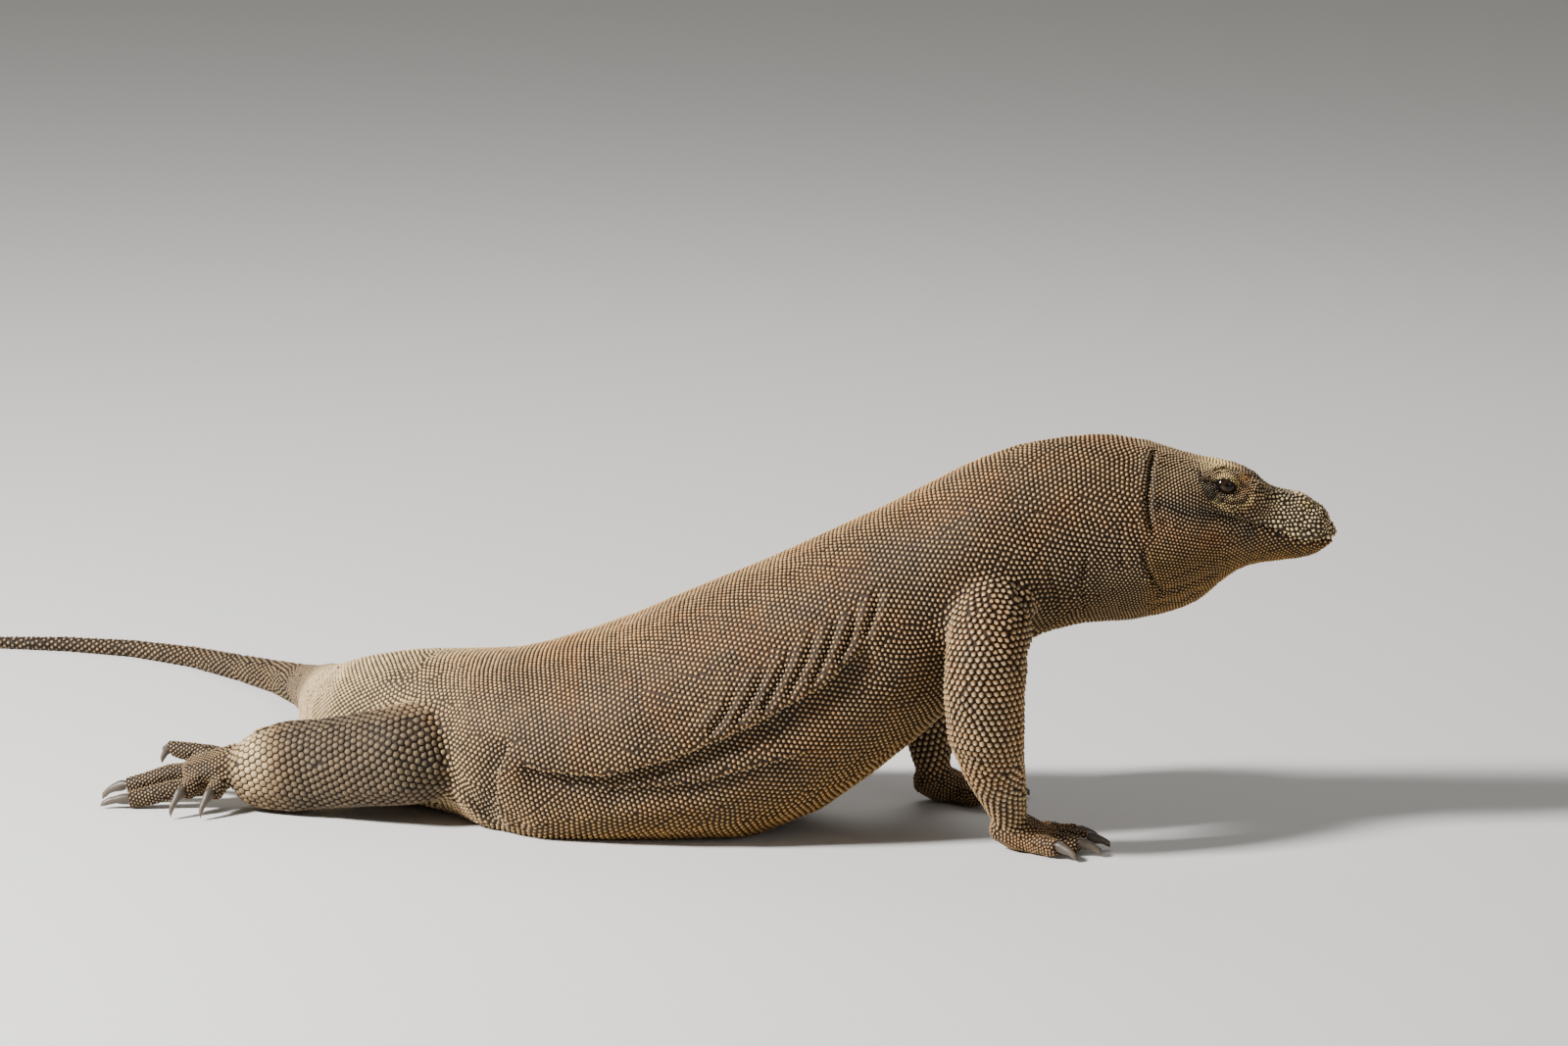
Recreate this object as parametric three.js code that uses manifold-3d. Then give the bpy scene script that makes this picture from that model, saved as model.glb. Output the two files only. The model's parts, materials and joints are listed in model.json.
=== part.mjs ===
// A Komodo dragon (Varanus komodoensis) at life size: a heavy adult, about 2.4 m from snout to
// tail tip, lying on its belly with the chest raised on the forelegs, one hind leg stretched
// out behind it and the tail swept away to the left.
//
// Units are millimetres. +X is towards the snout, +Y towards the animal's left, +Z up.
// The origin is on the floor, in the middle of the flat that the belly rests on.

import * as THREE from 'three';
import { mergeVertices } from 'three/addons/utils/BufferGeometryUtils.js';
import Module from 'manifold-3d';

const wasm = await Module();
wasm.setup();

// ---------------------------------------------------------------- driving dimensions

const GAP = 0.3; // clearance between neighbouring pieces
const BODY_SIDES = 24; // faces round the head, trunk and tail
const LEG_SIDES = 12;
const PALM_SIDES = 8;
const TOE_SIDES = 6;
const CLAW_SIDES = 5;

const HEAD_Y = -78; // the head's middle plane
const EYE = { x: 681, out: 35, z: 430, radius: 13 };
const LID_OPENING = { x: EYE.x, out: EYE.out + 14, z: EYE.z, radii: [12, 10, 8.5] };
const NOSTRIL = { x: 785, out: 29, z: 392, radii: [5.5, 6, 4] };
const EAR = { x: 601, out: 80, z: 414, radii: [5, 9, 14] };

// One section of the body: its centre, its half width, its height above and below the centre,
// and the squareness of its upper and lower halves, where 2 is an ellipse.
const section = (x, y, z, side, up, down, top = 2, bottom = 2) =>
  ({ x, y, z, side, up, down, top, bottom });

// Snout to tail tip.
const BODY = [
  section(808, HEAD_Y, 368, 12, 10, 10),
  section(803, HEAD_Y, 367, 18.5, 20, 14.5, 2.2),
  section(791, HEAD_Y, 366, 25.5, 31, 24, 2.4),
  section(773, HEAD_Y, 366, 31, 43.5, 30, 2.5, 2.1),
  section(747, HEAD_Y, 368, 36.5, 49, 35.5, 2.5, 2.1),
  section(722, HEAD_Y, 371, 43, 55.5, 43, 2.7, 2.1),
  section(700, HEAD_Y, 375, 50, 68, 59, 3),
  section(674, HEAD_Y, 378, 58, 73, 79, 2.8),
  section(640, HEAD_Y, 378, 69, 83.5, 98, 2.3),
  section(600, HEAD_Y, 376, 79, 100, 108, 2.1),
  section(560, -77, 373, 84, 110, 113),
  section(515, -75, 370, 87, 111, 112),
  section(460, -71, 357, 93, 113, 110),
  section(385, -63, 322, 106, 110, 108),
  section(300, -53, 262, 125, 125, 126),
  section(205, -38, 205, 147, 133, 150, 2, 2.1),
  section(100, -20, 152, 163, 138, 164, 2, 2.3),
  section(-10, 0, 118, 167, 124, 135, 2, 2.5),
  section(-110, 20, 98, 151, 112, 126, 2, 2.5),
  section(-195, 60, 94, 113, 98, 102, 2.1, 2.2),
  section(-270, 97, 91, 91, 94, 94),
  section(-325, 144, 83, 72, 84, 86),
  section(-365, 222, 72, 56, 66, 75),
  section(-388, 332, 59, 44, 54, 62, 1.9),
  section(-410, 470, 42, 31, 37, 45, 1.8),
  section(-452, 612, 26, 22, 23, 28, 1.7),
  section(-530, 728, 18, 16, 16, 20, 1.7),
  section(-650, 846, 13, 12, 11, 15, 1.7),
  section(-800, 902, 10, 9, 8.5, 12, 1.8),
  section(-950, 916, 7, 5.5, 6, 8.5),
];
const HEAD_END = 9.3; // places along BODY, counted in sections, where one piece meets the next
const NECK_END = 12.4;
const CHEST_END = 15;
const BELLY_END = 18.5;
const HIPS_END = 21;
const TAIL_BASE_END = 23.5;
const TAIL_MIDDLE_END = 26;

// Soft swellings (push above 0) and hollows (push below 0), the same on both sides of a plane.
const feature = (x, out, z, spread, push) => ({ x, out, z, spread, push });
const HEAD_FEATURES = [
  feature(684, 37, 446, [22, 12, 8], 5), // brow ridge
  feature(724, 34, 424, [18, 9, 9], 2.5), // ridge from brow to nostril
  feature(684, 50, 428, [17, 14, 10], -4), // eye hollow
  feature(737, 42, 402, [20, 12, 14], -2.5), // hollow in front of the eye
  feature(784, 28, 386, [15, 12, 14], 2.5), // nasal swelling
  feature(641, 66, 420, [26, 16, 26], 6), // jaw muscle
  feature(622, 62, 455, [22, 16, 14], -3), // hollow above the ear
];
const TRUNK_FEATURES = [
  feature(395, 92, 352, [46, 60, 52], 9), // shoulder blade
  feature(-196, 70, 160, [50, 40, 30], 6), // pelvis
];

// Legs, from inside the trunk to inside the foot. The fourth section is the elbow or knee.
const LEGS = {
  fore_right: {
    front: [1, 0, 0],
    sections: [
      section(415, -118, 318, 46, 50, 50),
      section(408, -163, 285, 46, 50, 50),
      section(401, -195, 246, 44, 49, 47),
      section(398, -205, 205, 42, 49, 47),
      section(404, -197, 140, 38, 43, 44),
      section(417, -174, 92, 31, 32, 33),
      section(428, -154, 54, 26, 24, 24),
      section(433, -145, 30, 24, 17, 17),
    ],
  },
  fore_left: {
    front: [1, 0, 0],
    sections: [
      section(400, -20, 312, 46, 50, 50),
      section(385, 37, 276, 46, 50, 50),
      section(364, 80, 238, 44, 49, 47),
      section(350, 97, 200, 42, 48, 46),
      section(342, 98, 140, 38, 42, 43),
      section(342, 94, 92, 31, 32, 33),
      section(344, 90, 54, 26, 24, 24),
      section(348, 88, 30, 24, 17, 17),
    ],
  },
  hind_right: {
    front: [0, 0, 1],
    sections: [
      section(-200, 60, 96, 58, 58, 58),
      section(-232, 25, 92, 62, 62, 60),
      section(-258, -4, 86, 64, 64, 62),
      section(-292, -14, 80, 58, 62, 60),
      section(-340, 3, 71, 50, 57, 56),
      section(-382, 22, 63, 46, 55, 56),
      section(-422, 38, 57, 49, 55, 58),
      section(-454, 46, 54, 44, 47, 55),
      section(-478, 51, 48, 38, 35, 46),
    ],
  },
  hind_left: {
    front: [0, 0, 1],
    sections: [
      section(-190, 82, 100, 58, 58, 58),
      section(-135, 142, 96, 58, 60, 58),
      section(-92, 186, 90, 51, 54, 51),
      section(-78, 220, 84, 46, 49, 46),
      section(-104, 266, 72, 40, 42, 42),
      section(-144, 306, 58, 34, 38, 38),
      section(-166, 327, 47, 32, 34, 36),
      section(-180, 340, 40, 27, 27, 28),
    ],
  },
};
const JOINT = 3; // the elbow's or knee's place along a leg
const HEEL_ROUND = { fore: 6, hind: 18 }; // depth of the rounded end of the lower leg

// Feet. Toe 1 is the inner one; flip is 1 where it is on the left of the way the foot points.
// A toe is its angle from that way, the place of its root, its length, the heights of the
// middle of its root and of its tip, how soon it comes down to that (1 is straight, more is
// sooner), and its claw's length as a share of the foot's others.
const toe = (angle, forward, left, length, root = 15, tip = 15, sink = 1.5, claw = 1) =>
  ({ angle, forward, left, length, root, tip, sink, claw });
const FORE_TOES = [
  toe(48, 26, 23, 32),
  toe(22, 40, 16, 40),
  toe(0, 45, 2, 44),
  toe(-19, 41, -14, 41),
  toe(-38, 27, -23, 34),
];
const FORE_PALM = [
  section(-14, 0, 36, 24, 20, 24),
  section(10, 0, 26, 29, 19, 28),
  section(32, 0, 18, 33, 15, 22),
  section(48, 0, 13, 33, 11, 17),
];
const HIND_LEFT_TOES = [
  toe(46, 50, 22, 40),
  toe(30, 62, 15, 56),
  toe(10, 70, 3, 78),
  toe(-4, 68, -11, 96),
  toe(-32, 30, -22, 62),
];
const HIND_LEFT_PALM = [
  section(-18, 0, 44, 24, 23, 26),
  section(14, 0, 32, 28, 20, 33),
  section(46, 0, 21, 31, 16, 26),
  section(68, 0, 13, 31, 11, 17),
];
// The stretched hind leg lies on its heel, so the foot behind it arches over its claws.
const HIND_RIGHT_TOES = [
  toe(60, 32, 22, 24, 44, 29),
  toe(52, 62, 22, 26, 41, 30),
  toe(3, 70, 4, 78, 29, 12, 1),
  toe(-7, 72, -12, 82, 47, 21, 1),
  toe(-17, 28, -20, 78, 56, 63, 1.5, 0.65),
];
const HIND_RIGHT_PALM = [
  section(-14, 0, 58, 24, 25, 28),
  section(16, 0, 56, 28, 24, 28),
  section(46, 0, 50, 31, 20, 25),
  section(74, 0, 44, 28, 16, 20),
];
const FEET = {
  fore_right: { x: 433, y: -144, yaw: -1, flip: 1, palm: FORE_PALM, toes: FORE_TOES },
  fore_left: { x: 348, y: 88, yaw: 10, flip: -1, palm: FORE_PALM, toes: FORE_TOES },
  hind_right: { x: -470, y: 56, yaw: 178, flip: 1, palm: HIND_RIGHT_PALM, toes: HIND_RIGHT_TOES },
  hind_left: { x: -182, y: 342, yaw: 30, flip: -1, palm: HIND_LEFT_PALM, toes: HIND_LEFT_TOES },
};
const FORE_CLAW = 30; // length from root to point
const HIND_CLAW = 36;
const CLAW_POINT_HEIGHT = 2.2; // of the middle of a claw's point over the floor
const STEEPEST_CLAW = 0.88; // largest drop of a claw as a share of its length

// The closed mouth, from in front of the lips back past the corner, in x and z.
const MOUTH = [[830, 362], [806, 361], [785, 361], [762, 364], [735, 376], [708, 386],
  [680, 395], [650, 401], [560, 406]];
const MOUTH_BLOCK = { back: 560, front: 830, bottom: 150, width: 400 };
const MOUTH_STEPS = 16; // straight lengths along the mouth line
const HEAD_RINGS = 18;
const SNOUT_ROUND = 5; // depth of the rounded end of the snout

// ---------------------------------------------------------------- materials

const material = (color, roughness, metalness = 0) =>
  new THREE.MeshStandardMaterial({ color, roughness, metalness });
const SKIN = material('#8a7458', 0.72);
const HEAD_SKIN = material('#7c7460', 0.66);
const CLAW = material('#6f6a5e', 0.4);
const EYEBALL = material('#2c1f14', 0.08);

// ---------------------------------------------------------------- solids and cuts

// Every closed mesh here may be wound either way, so it is turned to face out.
function solidOf(geometry) {
  const bare = new THREE.BufferGeometry();
  bare.setAttribute('position', geometry.getAttribute('position'));
  if (geometry.index) bare.setIndex(geometry.index);
  const merged = mergeVertices(bare, 1e-4);
  const position = merged.getAttribute('position').array;
  const triVerts = new Uint32Array(merged.index.array);
  const corner = new THREE.Vector3();
  const [a, b, c] = [0, 1, 2].map(() => new THREE.Vector3());
  let volume = 0;
  for (let i = 0; i < triVerts.length; i += 3) {
    [a, b, c].forEach((p, k) => p.fromArray(position, 3 * triVerts[i + k]));
    volume += a.dot(corner.crossVectors(b, c));
  }
  if (volume < 0) {
    for (let i = 0; i < triVerts.length; i += 3) {
      [triVerts[i + 1], triVerts[i + 2]] = [triVerts[i + 2], triVerts[i + 1]];
    }
  }
  return new wasm.Manifold(new wasm.Mesh({ numProp: 3, vertProperties: position, triVerts }));
}

function geometryOf(solid) {
  const mesh = solid.getMesh();
  const geometry = new THREE.BufferGeometry();
  geometry.setAttribute('position', new THREE.BufferAttribute(mesh.vertProperties, 3));
  geometry.setIndex(new THREE.BufferAttribute(mesh.triVerts, 1));
  return geometry;
}

function ellipsoid(centre, radii, around, along) {
  const ball = new THREE.SphereGeometry(1, around, along);
  return solidOf(ball.scale(...radii).translate(...centre));
}

const FLOOR_DEPTH = 300;
const belowFloor = solidOf(
  new THREE.BoxGeometry(4000, 4000, FLOOR_DEPTH).translate(0, 0, -FLOOR_DEPTH / 2),
);
const onFloor = (solid) => solid.subtract(belowFloor);

// ---------------------------------------------------------------- lofts

// A smooth run through the sections. A place counts sections from the first one, so 2.5 is
// between the third and the fourth.
function sectionAt(chain, place) {
  const last = chain.length - 1;
  const first = Math.min(Math.max(Math.floor(place), 0), last - 1);
  const near = [-1, 0, 1, 2].map((step) => chain[THREE.MathUtils.clamp(first + step, 0, last)]);
  const [before, span, after] = [0, 1, 2].map((k) =>
    Math.hypot(near[k + 1].x - near[k].x, near[k + 1].y - near[k].y, near[k + 1].z - near[k].z));
  const slope = (left, leftRun, right, rightRun) => {
    if (leftRun === 0) return right / rightRun;
    if (rightRun === 0) return left / leftRun;
    return (left / leftRun * rightRun + right / rightRun * leftRun) / (leftRun + rightRun);
  };
  const t = place - first;
  const result = {};
  for (const key of Object.keys(chain[0])) {
    const [p, a, b, n] = near.map((one) => one[key]);
    const start = slope(a - p, before, b - a, span) * span;
    const end = slope(b - a, span, n - b, after) * span;
    result[key] = (2 * a - 2 * b + start + end) * t ** 3
      + (3 * b - 3 * a - 2 * start - end) * t ** 2 + start * t + a;
  }
  return result;
}

const centreOf = (one) => new THREE.Vector3(one.x, one.y, one.z);

// The section's own axes: along the chain, then the reference direction made square to it.
function frameAt(chain, place, reference) {
  const step = 0.02;
  const last = chain.length - 1;
  const tangent = centreOf(sectionAt(chain, Math.min(place + step, last)))
    .sub(centreOf(sectionAt(chain, Math.max(place - step, 0)))).normalize();
  const up = reference.clone().addScaledVector(tangent, -reference.dot(tangent)).normalize();
  return { tangent, up, side: new THREE.Vector3().crossVectors(up, tangent) };
}

const power = (value, squareness) =>
  Math.sign(value) * Math.abs(value) ** (2 / squareness);

// How far the features move a point that lies out from the middle plane y = middle.
function featurePush(features, point, middle) {
  return features.reduce((sum, one) => {
    const away = [point.x - one.x, Math.abs(point.y - middle) - one.out, point.z - one.z];
    const square = away.reduce((total, d, axis) => total + (d / one.spread[axis]) ** 2, 0);
    return sum + one.push * Math.exp(-square);
  }, 0);
}

// The points of one ring. stop says its place along the chain, how far it is shifted from there
// and how much it is shrunk; grow makes it larger all round.
function ringAt(chain, stop, { sides, reference, grow = 0, features = [] }) {
  const one = sectionAt(chain, stop.place);
  const { tangent, up, side } = frameAt(chain, stop.place, reference);
  const centre = centreOf(one).addScaledVector(tangent, stop.shift);
  return Array.from({ length: sides }, (_, i) => {
    const angle = 2 * Math.PI * i / sides;
    const upper = Math.sin(angle) >= 0;
    const squareness = upper ? one.top : one.bottom;
    const across = (one.side + grow) * power(Math.cos(angle), squareness);
    const high = ((upper ? one.up : one.down) + grow) * power(Math.sin(angle), squareness);
    const out = new THREE.Vector3().addScaledVector(side, across).addScaledVector(up, high);
    const push = featurePush(features, out.clone().add(centre), centre.y);
    return out.setLength(out.length() * stop.shrink + push).add(centre);
  });
}

const DOME_STEPS = [0.45, 0.8]; // rings of a rounded end, as shares of a quarter turn

// A closed loft of the chain between two places. Its ends are flat or domed; grow makes it
// larger all round, its ends too.
function loft(chain, options) {
  const { from = 0, to = chain.length - 1, rings, grow = 0, domeStart = 0, domeEnd = 0 } = options;
  const dome = (place, way, depth) => DOME_STEPS.map((share) => {
    const angle = share * Math.PI / 2;
    return { place, shift: way * (grow + depth * Math.sin(angle)), shrink: Math.cos(angle) };
  });
  const length = Array.from({ length: rings + 1 }, (_, k) => {
    const shift = (k === rings ? grow : 0) - (k === 0 ? grow : 0);
    return { place: from + (to - from) * k / rings, shift, shrink: 1 };
  });
  const stops = [
    ...(domeStart > 0 ? dome(from, -1, domeStart).reverse() : []),
    ...length,
    ...(domeEnd > 0 ? dome(to, 1, domeEnd) : []),
  ];
  const tipAt = (place, shift) => centreOf(sectionAt(chain, place))
    .addScaledVector(frameAt(chain, place, options.reference).tangent, shift);
  const points = stops.flatMap((stop) => ringAt(chain, stop, options));
  const tips = [points.length, points.length + 1];
  points.push(tipAt(from, -grow - domeStart), tipAt(to, grow + domeEnd));
  const { sides } = options;
  const lastRing = (stops.length - 1) * sides;
  const index = [];
  for (let i = 0; i < sides; i += 1) {
    const next = (i + 1) % sides;
    for (let ring = 0; ring < lastRing; ring += sides) {
      const [a, b] = [ring + i, ring + next];
      index.push(a, b, a + sides, b, b + sides, a + sides);
    }
    index.push(tips[0], next, i);
    index.push(tips[1], lastRing + i, lastRing + next);
  }
  const geometry = new THREE.BufferGeometry();
  geometry.setFromPoints(points);
  geometry.setIndex(index);
  return solidOf(geometry);
}

const UP = new THREE.Vector3(0, 0, 1);

// A length of the body, trimmed at both ends by half the gap.
function bodyPiece(from, to, rings, options = {}) {
  const trim = (place, way) => {
    const step = 0.1;
    const run = centreOf(sectionAt(BODY, place))
      .distanceTo(centreOf(sectionAt(BODY, place + way * step)));
    return place + way * step * (GAP / 2) / run;
  };
  const start = from > 0 ? trim(from, 1) : from;
  const end = to < BODY.length - 1 ? trim(to, -1) : to;
  return onFloor(loft(BODY, {
    from: start, to: end, rings, sides: BODY_SIDES, reference: UP, ...options,
  }));
}

// ---------------------------------------------------------------- the head

// Everything below the closed mouth, as one block as wide as the head.
function belowMouth(shift) {
  const line = new THREE.SplineCurve(MOUTH.map(([x, z]) => new THREE.Vector2(x, z + shift)));
  const { back, front, bottom, width } = MOUTH_BLOCK;
  const corners = [new THREE.Vector2(back, bottom), new THREE.Vector2(front, bottom)];
  const outline = new THREE.Shape([...line.getPoints(MOUTH_STEPS), ...corners]);
  const block = new THREE.ExtrudeGeometry(outline, { depth: width, bevelEnabled: false });
  return solidOf(block.rotateX(Math.PI / 2).translate(0, HEAD_Y + width / 2, 0));
}

const bothSides = (make) => [-1, 1].map(make);

const eyeball = (way, grow = 0) => {
  const radius = EYE.radius + grow;
  return ellipsoid([EYE.x, HEAD_Y + way * EYE.out, EYE.z], [radius, radius, radius], 12, 8);
};

function buildHead() {
  const whole = bodyPiece(0, HEAD_END, HEAD_RINGS, { domeStart: SNOUT_ROUND, features: HEAD_FEATURES });
  const hollow = (way, { x, out, z }, radii) => ellipsoid([x, HEAD_Y + way * out, z], radii, 8, 6);
  const hollows = bothSides((way) => [
    eyeball(way, GAP),
    hollow(way, LID_OPENING, LID_OPENING.radii),
    hollow(way, NOSTRIL, NOSTRIL.radii),
    hollow(way, EAR, EAR.radii),
  ]).flat();
  const head = hollows.reduce((rest, one) => rest.subtract(one),
    whole.subtract(belowMouth(GAP / 2)));
  return { head, jaw: whole.intersect(belowMouth(-GAP / 2)) };
}

// ---------------------------------------------------------------- legs and feet

// A toe and its claw follow one run of sections, which starts inside the palm. The claw's own
// run has the same middle line, but is narrower where it leaves the toe.
const TOE_END = 3; // the claw's root, counted in sections
const TOE_ROOT = { run: -16, side: 11, up: 9, down: 14 };
const TOE_RINGS = [ // shares of the toe's length, then how far the knuckle lifts its middle
  { share: 0.34, lift: 1, side: 11, up: 11, down: 15 },
  { share: 0.7, lift: 0, side: 10.5, up: 10, down: 14.5 },
];
const TOE_TIP = { side: 9, up: 9.5, down: 12 };
const CLAW_ROOT = { side: 6, up: 7, down: 6.5 };
const CLAW_RINGS = [ // shares of the claw's reach and of its drop
  { reach: 0.5, drop: 0.14, side: 4.6, up: 5, down: 4.8 },
  { reach: 0.85, drop: 0.54, side: 3, up: 3.2, down: 3.2 },
  { reach: 1, drop: 1, side: 0.7, up: 0.8, down: 0.8 },
];
function digitSections({ angle, forward, left, length, root, tip, sink, claw }, footClaw) {
  const way = THREE.MathUtils.degToRad(angle);
  const along = (run, z, { side, up, down }) =>
    section(forward + run * Math.cos(way), left + run * Math.sin(way), z, side, up, down);
  const clawLength = claw * footClaw;
  const drop = Math.min(tip - CLAW_POINT_HEIGHT, STEEPEST_CLAW * clawLength);
  const reach = Math.sqrt(clawLength ** 2 - drop ** 2);
  const middle = (share) => tip + (root - tip) * (1 - share) ** sink;
  const point = CLAW_RINGS.map((ring) =>
    along(length + reach * ring.reach, tip - drop * ring.drop, ring));
  const digit = [
    along(TOE_ROOT.run, root, TOE_ROOT),
    ...TOE_RINGS.map((ring) => along(length * ring.share, middle(ring.share) + ring.lift, ring)),
  ];
  return {
    digit: [...digit, along(length, tip, TOE_TIP), ...point],
    horn: [...digit, along(length, tip, CLAW_ROOT), ...point],
  };
}

function buildFoot({ x, y, yaw, flip, palm, toes }, clawLength, grow = 0) {
  const turn = THREE.MathUtils.degToRad(yaw);
  const place = (one) => ({
    ...one,
    x: x + one.x * Math.cos(turn) - flip * one.y * Math.sin(turn),
    y: y + one.x * Math.sin(turn) + flip * one.y * Math.cos(turn),
  });
  const shape = { reference: UP, grow };
  const sole = loft(palm.map(place), {
    ...shape, rings: 3, sides: PALM_SIDES, domeStart: 8, domeEnd: 8,
  });
  const digits = toes.map((one) => digitSections(one, clawLength));
  const foot = digits.reduce((rest, { digit }) => rest.add(
    loft(digit.map(place), { ...shape, to: TOE_END, rings: 3, sides: TOE_SIDES }),
  ), sole);
  const claws = digits.map(({ horn }) => {
    const [root, next] = [TOE_END, TOE_END + 1].map((i) => centreOf(horn[i]));
    const from = TOE_END + GAP / root.distanceTo(next);
    return loft(horn.map(place), { reference: UP, from, rings: 3, sides: CLAW_SIDES });
  });
  return { foot: onFloor(foot), claws };
}

function buildLeg({ front, sections }, heelRound, trunk, footSpace) {
  const common = { sides: LEG_SIDES, reference: new THREE.Vector3(...front) };
  const thigh = { ...common, to: JOINT, rings: 4 };
  const shank = { ...common, from: JOINT, rings: 5, domeEnd: heelRound };
  const upper = loft(sections, thigh).subtract(trunk);
  const lower = [trunk, footSpace, loft(sections, { ...thigh, grow: GAP })]
    .reduce((rest, space) => rest.subtract(space), loft(sections, shank));
  return { upper: onFloor(upper), lower: onFloor(lower) };
}

// ---------------------------------------------------------------- the whole animal

const dragon = new THREE.Group();
dragon.name = 'komodo_dragon';

function addNode(name, solid, finish) {
  const mesh = new THREE.Mesh(geometryOf(solid), finish);
  mesh.name = name;
  dragon.add(mesh);
}

const { head, jaw } = buildHead();
addNode('head', head, HEAD_SKIN);
addNode('lower_jaw', jaw, HEAD_SKIN);
addNode('eye_right', eyeball(-1), EYEBALL);
addNode('eye_left', eyeball(1), EYEBALL);

// Each length of the body behind the head: where it ends, and its rings.
const LENGTHS = [
  ['neck', NECK_END, 5],
  ['chest', CHEST_END, 5],
  ['belly', BELLY_END, 6],
  ['hips', HIPS_END, 5],
  ['tail_base', TAIL_BASE_END, 5],
  ['tail_middle', TAIL_MIDDLE_END, 4],
  ['tail_tip', BODY.length - 1, 5],
];
const OVERRUN = 0.02; // how far each length of trunkSpace runs into the next, in sections
let trunkSpace = null; // what the legs have to clear: the same lengths, larger by the gap
let reached = HEAD_END;
for (const [name, end, rings] of LENGTHS) {
  const options = { features: TRUNK_FEATURES, domeEnd: name === 'tail_tip' ? 8 : 0 };
  addNode(name, bodyPiece(reached, end, rings, options), SKIN);
  const overrun = Math.min(end + OVERRUN, BODY.length - 1);
  const space = bodyPiece(reached - OVERRUN, overrun, rings, { ...options, grow: 2 * GAP });
  trunkSpace = trunkSpace ? trunkSpace.add(space) : space;
  reached = end;
}

for (const [name, leg] of Object.entries(LEGS)) {
  const [pair] = name.split('_');
  const clawLength = pair === 'fore' ? FORE_CLAW : HIND_CLAW;
  const { foot, claws } = buildFoot(FEET[name], clawLength);
  const footSpace = buildFoot(FEET[name], clawLength, GAP).foot;
  const { upper, lower } = buildLeg(leg, HEEL_ROUND[pair], trunkSpace, footSpace);
  addNode(`leg_${name}_upper`, upper, SKIN);
  addNode(`leg_${name}_lower`, lower, SKIN);
  addNode(`foot_${name}`, foot, SKIN);
  claws.forEach((claw, i) => addNode(`claw_${name}_${i + 1}`, claw, CLAW));
}

export default dragon;
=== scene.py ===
"""A komodo dragon as a life-size museum model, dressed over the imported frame.

The skin is one closed mesh made from the flesh solids. Separate scales lie on it in rows, and
the eyes and claws are pieces of their own. The frame is in metres: +X to the snout, +Y to the
animal's left, +Z up.
"""

import contextlib
import heapq
import json
import math

import bpy
import numpy as np
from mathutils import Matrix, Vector
from mathutils.bvhtree import BVHTree
from mathutils.kdtree import KDTree

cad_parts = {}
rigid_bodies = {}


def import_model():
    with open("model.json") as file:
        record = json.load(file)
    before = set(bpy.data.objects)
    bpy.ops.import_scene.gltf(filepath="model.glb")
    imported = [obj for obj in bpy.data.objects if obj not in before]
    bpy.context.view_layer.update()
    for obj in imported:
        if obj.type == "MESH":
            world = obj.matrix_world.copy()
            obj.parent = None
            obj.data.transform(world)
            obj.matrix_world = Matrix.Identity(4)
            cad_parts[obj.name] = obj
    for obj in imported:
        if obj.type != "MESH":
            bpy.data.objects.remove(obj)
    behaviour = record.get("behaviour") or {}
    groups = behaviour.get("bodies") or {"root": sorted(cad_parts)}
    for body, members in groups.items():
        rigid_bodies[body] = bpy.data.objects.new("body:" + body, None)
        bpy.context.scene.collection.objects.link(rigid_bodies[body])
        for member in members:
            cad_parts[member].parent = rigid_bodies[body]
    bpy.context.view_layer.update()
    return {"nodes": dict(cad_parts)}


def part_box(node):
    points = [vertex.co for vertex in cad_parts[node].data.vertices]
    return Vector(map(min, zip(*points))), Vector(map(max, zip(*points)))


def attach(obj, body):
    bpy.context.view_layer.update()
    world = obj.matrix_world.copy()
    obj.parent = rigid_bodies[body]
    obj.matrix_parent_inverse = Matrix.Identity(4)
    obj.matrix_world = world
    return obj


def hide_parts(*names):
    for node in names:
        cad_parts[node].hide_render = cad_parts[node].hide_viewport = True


bl_info = {
    "name": "Komodo Dragon Model",
    "version": (1, 0, 0),
    "blender": (4, 5, 0),
    "location": "3D View > Sidebar > Komodo",
    "description": "Makes the skin, scales, eyes and claws of a life-size komodo dragon",
    "category": "Object",
}

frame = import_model()

MM = 0.001
UP = np.array([0.0, 0.0, 1.0])
VIEW_TILT = math.radians(12)  # folds are drawn on a plane that leans back by this, square to the camera
SEED = 7


def middle_of(node):
    """The middle of a CAD node's box."""
    low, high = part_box(node)
    return np.array((low + high) / 2)


HEAD_MIDDLE_Y = (middle_of("eye_right")[1] + middle_of("eye_left")[1]) / 2
EYE_RADIUS = (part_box("eye_right")[1].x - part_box("eye_right")[0].x) / 2

CLAWS = sorted(name for name in frame["nodes"] if name.startswith("claw_"))
EYES = ("eye_right", "eye_left")
FLESH = sorted(name for name in frame["nodes"] if not name.startswith(("claw_", "eye_")))
PART_NAMES = FLESH + list(EYES)  # a part number is a place in this list
LEGS = ("fore_right", "fore_left", "hind_right", "hind_left")
TRUNK = ("hips", "belly", "chest", "neck", "head")
MARKS = ("pale", "warm", "dark", "rust", "ochre")  # fields that colour the hide
made = {}  # what one operator leaves for the next: the fine hide and its fields


# ---- colours


def linear(hex_colour):
    """An sRGB hex value as a linear RGBA tuple."""
    channels = [int(hex_colour[i : i + 2], 16) / 255 for i in (1, 3, 5)]
    return tuple(c / 12.92 if c <= 0.04045 else ((c + 0.055) / 1.055) ** 2.4 for c in channels) + (1,)


def colour_prop(name, hex_colour, description):
    return bpy.props.FloatVectorProperty(
        name=name, description=description, default=linear(hex_colour), size=4, subtype="COLOR", min=0, max=1
    )


def length_prop(name, millimetres, description):
    return bpy.props.FloatProperty(
        name=name, description=description, default=millimetres * MM, min=0, unit="LENGTH", precision=4
    )


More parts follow.
